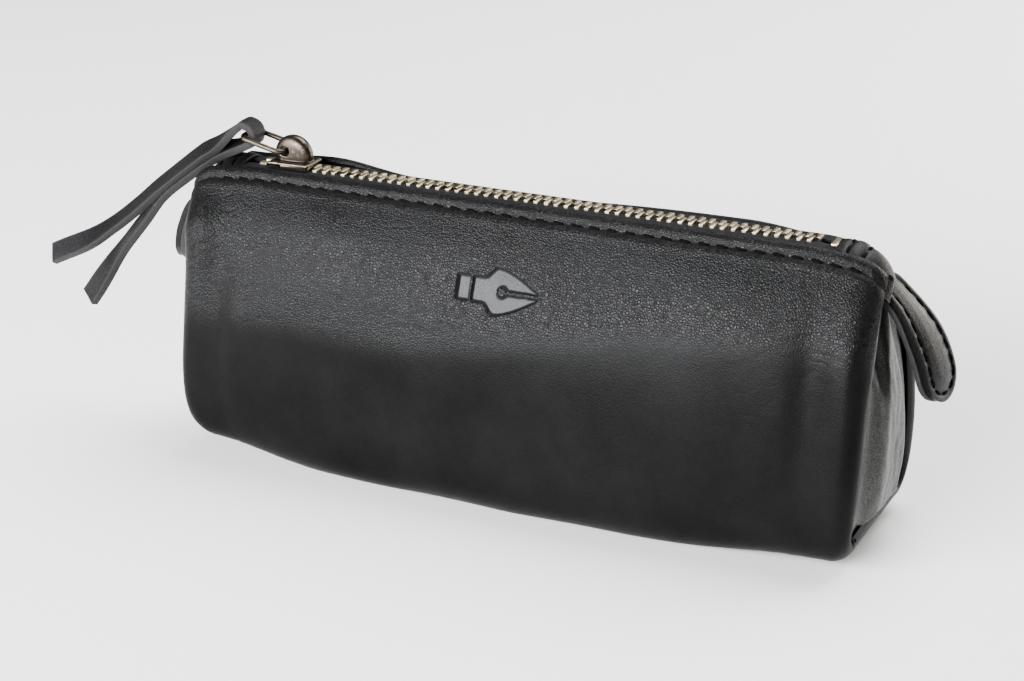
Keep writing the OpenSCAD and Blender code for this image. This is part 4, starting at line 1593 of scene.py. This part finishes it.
@dataclass
class Tabs:
    """The hanging tabs: two layers of leather sewn together round the edge."""

    finishes: Finishes
    length: float = 31.0
    width: float = 15.0
    root_w: float = 12.4
    face_t: float = 1.8
    back_t: float = 1.4
    split: float = -0.2
    seam_in: float = 2.0
    seam_groove: float = 0.35
    hang: dict[End, float] = field(default_factory=lambda: {End.LEFT: 33.0, End.RIGHT: 26.0})
    curl: float = 23.0
    face_turn: float = math.radians(11)
    lean: dict[End, float] = field(default_factory=lambda: {End.LEFT: 9.0, End.RIGHT: 0.0})

    def line(self, end: End) -> Line:
        """Returns a right-hand tab's middle line, from under the cap down to its tip."""
        hinge = joint_place(f"tab_{end.name.lower()}_bend")
        root = np.array([abs(hinge[0]), hinge[2]])
        steps = np.linspace(0, self.length, 32)
        turn = np.radians(self.hang[end] + self.curl * (1 - 2 * steps / self.length))
        way = np.stack([np.sin(turn), -np.cos(turn)], axis=1) * (steps[1] - steps[0])
        tongue = root + np.concatenate([[(0, 0)], np.cumsum(way[:-1], axis=0)])
        start = passing_line([tuple(root + (-2.8, 1.4)), tuple(root + (-1.3, 1.0)),
                              tuple(tongue[0])])
        return Line(np.concatenate([start[:-1], tongue]))

    def half_width(self, along: np.ndarray, whole: float) -> np.ndarray:
        """Returns half the tab's width at distances from its root."""
        tip = self.width / 2
        side = self.root_w / 2 + (tip - self.root_w / 2) * smooth_step(along / (whole - tip))
        past = np.clip(along - (whole - tip), 0.0, tip)
        return np.where(past > 0, np.sqrt(np.maximum(tip**2 - past**2, 0.0)), side)

    def point(self, along: np.ndarray, y: np.ndarray, end: End, lift: np.ndarray) -> np.ndarray:
        """Returns points at distances along a tab, at y across it and lift off its middle plane."""
        line = self.line(end)
        spot, way = line.at(along), line.direction(along)
        out = np.stack([-way[:, 1], way[:, 0]], axis=1)
        spot = spot + out * lift[:, None]
        aside = self.lean[end] * smooth_step((along - 2) / (1.3 * self.length))
        x = spot[:, 0] + y * math.sin(self.face_turn) * smooth_step((along - 4) / 14.0)
        return np.stack([end.value * x, y + 1.4 * aside, spot[:, 1]], axis=1)

    def edge_distance(self, along: np.ndarray, y: np.ndarray, whole: float) -> np.ndarray:
        """Returns how far points lie from the tab's outline."""
        tip = self.width / 2
        past = np.maximum(along - (whole - tip), 0.0)
        return np.where(past > 0, tip - np.hypot(past, y),
                        self.half_width(along, whole) - np.abs(y))

    def make_layer(self, end: End, face: bool) -> bpy.types.Object:
        """Makes the outer or the inner layer of one tab."""
        whole = self.line(end).length
        tip = self.width / 2
        turn = np.linspace(0, math.radians(88.5), 19)[1:]
        rows = np.concatenate([np.linspace(0, whole - tip, 40), whole - tip + tip * np.sin(turn)])
        word = end.name.lower()

        def place(u: np.ndarray, v: np.ndarray) -> np.ndarray:
            """Lays the layer on the tab's line, with its seam pressed in."""
            along = np.interp(v, np.linspace(0, 1, len(rows)), rows)
            share = 2 * u - 1
            y = share * self.half_width(along, whole)
            far = self.edge_distance(along, y, whole)
            dish = -self.seam_groove * hump(far, self.seam_in, 0.62) + 0.35 * smooth_step(
                (far - 2.4) / 3.5) + 0.12 * hump(far, 0.9, 0.6)
            if face:
                lift = self.split + self.face_t + dish
            else:
                lift = self.split - 0.03 + 0 * y
            lift = lift - 0.9 * (y / tip) ** 2 * smooth_step(along / 20.0) * 0.5
            return self.point(along, y, end, lift)

        name = f"tab_{word}_{'outer' if face else 'inner'}"
        piece = sheet_piece(name, 44, len(rows) - 1, place)
        if end is End.RIGHT:
            turn_over(piece)
        thicken(piece, self.face_t if face else self.back_t)
        round_edges(piece, 0.42, 3)
        soften(piece, 55)
        finish = self.finishes.small if face else self.finishes.cut
        slot, node = ("shell_leather", "face") if face else ("strap_leather", "backing")
        dress(piece, finish, slot, f"tab_{node}_{word}")
        self.bend(piece, end)
        return piece

    def bend(self, piece: bpy.types.Object, end: End) -> None:
        """Puts a tab piece's place into its mesh; it does not bend at the tab's root."""
        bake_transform(piece)

    def make_stitches(self, end: End) -> bpy.types.Object:
        """Lays the stitches round one tab."""
        whole = self.line(end).length
        tip = self.width / 2
        r = tip - self.seam_in
        down = [(l, side) for side in (-1, 1) for l in np.arange(5.5, whole - tip - 0.5, 3.9)]
        spots = []
        for l, side in down:
            y = side * (self.half_width(np.array([l]), whole)[0] - self.seam_in)
            spots.append((l, y, 1.0, 0.0))
        for i in range(-2, 3):
            a = math.radians(38 * i)
            spots.append((whole - tip + r * math.cos(a), r * math.sin(a),
                          -math.sin(a), math.cos(a)))
        places = []
        for l, y, dl, dy in spots:
            lift = np.full(3, self.split + self.face_t - 0.12)
            a, b, c = self.point(np.array([l, l + 0.5 * dl, l + 0.5 * dy]),
                                 np.array([y, y + 0.5 * dy, y - 0.5 * dl]), end, lift)
            out = np.cross(b - a, c - a)
            if out[0] * end.value < 0:
                out = -out
            places.append(seat_matrix(a, b - a, out))
        piece = Stitch(length=3.0, thread=0.75).laid(f"tab_{end.name.lower()}_seam", places)
        dress(piece, self.finishes.thread, "thread", f"tab_stitches_{end.name.lower()}")
        self.bend(piece, end)
        return piece

    def make(self) -> None:
        """Makes both tabs."""
        for end in End:
            self.make_layer(end, True)
            self.make_layer(end, False)
            self.make_stitches(end)


# ---------------------------------------------------------------- studio


@dataclass
class Studio:
    """A pale floor, soft light and the camera."""

    azimuth: float = math.radians(25.44)
    pitch: float = math.radians(21.42)
    roll: float = math.radians(-0.5)
    distance: float = 0.6462
    target: tuple[float, float, float] = (0.0, 0.0, 0.042)
    focal_mm: float = 84.4
    shift: tuple[float, float] = (-0.01995, -0.0056)

    def make_floor(self) -> None:
        """Lays the floor, with a faint unevenness."""
        bpy.ops.object.select_all(action="DESELECT")
        bpy.ops.mesh.primitive_plane_add(size=6.0)
        floor = bpy.context.object
        floor.name = "studio_floor"
        s = Shader("pale_paper")
        cloud = s.add("TexNoise", Vector=s.place, Scale=3.0, Detail=2.0)
        colour = s.blend(cloud.outputs["Fac"], (0.86, 0.86, 0.855, 1), (0.9, 0.9, 0.895, 1))
        floor.data.materials.append(s.finish(Base_Color=colour, Roughness=0.8))

    def add_light(self, name: str, way: tuple[float, float, float], far: float,
                  size: tuple[float, float], power: float,
                  tint: tuple[float, float, float]) -> None:
        """Hangs a soft light.

        Args:
            name: the light's name.
            way: the way to it from the case.
            far: how far away it hangs.
            size: its width and height.
            power: its power in watts.
            tint: its colour.
        """
        data = bpy.data.lights.new(name, "AREA")
        data.shape = "RECTANGLE"
        data.energy, data.color = power, tint
        data.size, data.size_y = size
        light = bpy.data.objects.new(name, data)
        bpy.context.scene.collection.objects.link(light)
        toward = Vector(way).normalized()
        light.location = Vector(self.target) + toward * far
        light.rotation_euler = toward.to_track_quat("Z", "Y").to_euler()

    def make_camera(self) -> None:
        """Sets the camera at the case's front right."""
        a, p = self.azimuth, self.pitch
        back = Vector((math.sin(a) * math.cos(p), -math.cos(a) * math.cos(p), math.sin(p)))
        data = bpy.data.cameras.new("camera")
        data.sensor_width, data.lens = 36.0, self.focal_mm
        data.shift_x, data.shift_y = self.shift
        data.clip_start = 0.01
        camera = bpy.data.objects.new("camera", data)
        bpy.context.scene.collection.objects.link(camera)
        camera.location = Vector(self.target) + back * self.distance
        turn = back.to_track_quat("Z", "Y").to_matrix().to_4x4()
        turn = turn @ Matrix.Rotation(self.roll, 4, "Z")
        camera.rotation_euler = turn.to_euler()
        bpy.context.scene.camera = camera

    def make_world(self) -> None:
        """Lights the room: bright overhead, dim near the horizon."""
        world = bpy.data.worlds.new("studio")
        bpy.context.scene.world = world
        world.use_nodes = True
        tree = world.node_tree
        place = tree.nodes.new("ShaderNodeTexCoord")
        split = tree.nodes.new("ShaderNodeSeparateXYZ")
        ramp = tree.nodes.new("ShaderNodeValToRGB")
        tree.links.new(place.outputs["Generated"], split.inputs[0])
        tree.links.new(split.outputs["Z"], ramp.inputs[0])
        tree.links.new(ramp.outputs[0], tree.nodes["Background"].inputs[0])
        ramp.color_ramp.elements[0].color = (0.05, 0.05, 0.052, 1)
        ramp.color_ramp.elements[1].color = (1.0, 1.0, 1.02, 1)
        ramp.color_ramp.elements[1].position = 0.9
        tree.nodes["Background"].inputs[1].default_value = 0.3

    def make(self) -> None:
        """Builds the studio."""
        self.make_camera()
        self.make_floor()
        self.make_world()
        self.add_light("window_left", (-0.42, -0.9, 0.37), 1.25, (1.25, 0.42), 84,
                       (0.97, 0.98, 1.0))
        self.add_light("top_back", (0.25, 0.65, 1.4), 1.5, (1.2, 1.2), 56, (0.98, 0.99, 1.0))
        self.add_light("card_right", (0.55, 0.83, 0.22), 0.9, (0.75, 0.36), 9, (1.0, 0.95, 0.87))


def main() -> None:
    """Builds the case around the frame, piece by piece, and lights it."""
    logging.basicConfig(level=logging.INFO, format="%(name)s %(message)s")
    Studio().make()
    low, high = box_mm("body_wrap")
    form = CaseForm(length=high[0] - low[0], height=high[2], width=high[1] - low[1])
    finishes = Finishes.made()
    Shell(form, finishes).make()
    panels = EndPanels(form, finishes)
    panels.make()
    Lining(form, finishes).make(panels)
    Zip(form, finishes).make()
    Slider(finishes).make()
    Pull(finishes).make()
    HemStitches(form, finishes).make()
    Caps(form, finishes).make()
    Tabs(finishes).make()


if __name__ == "__main__":
    main()
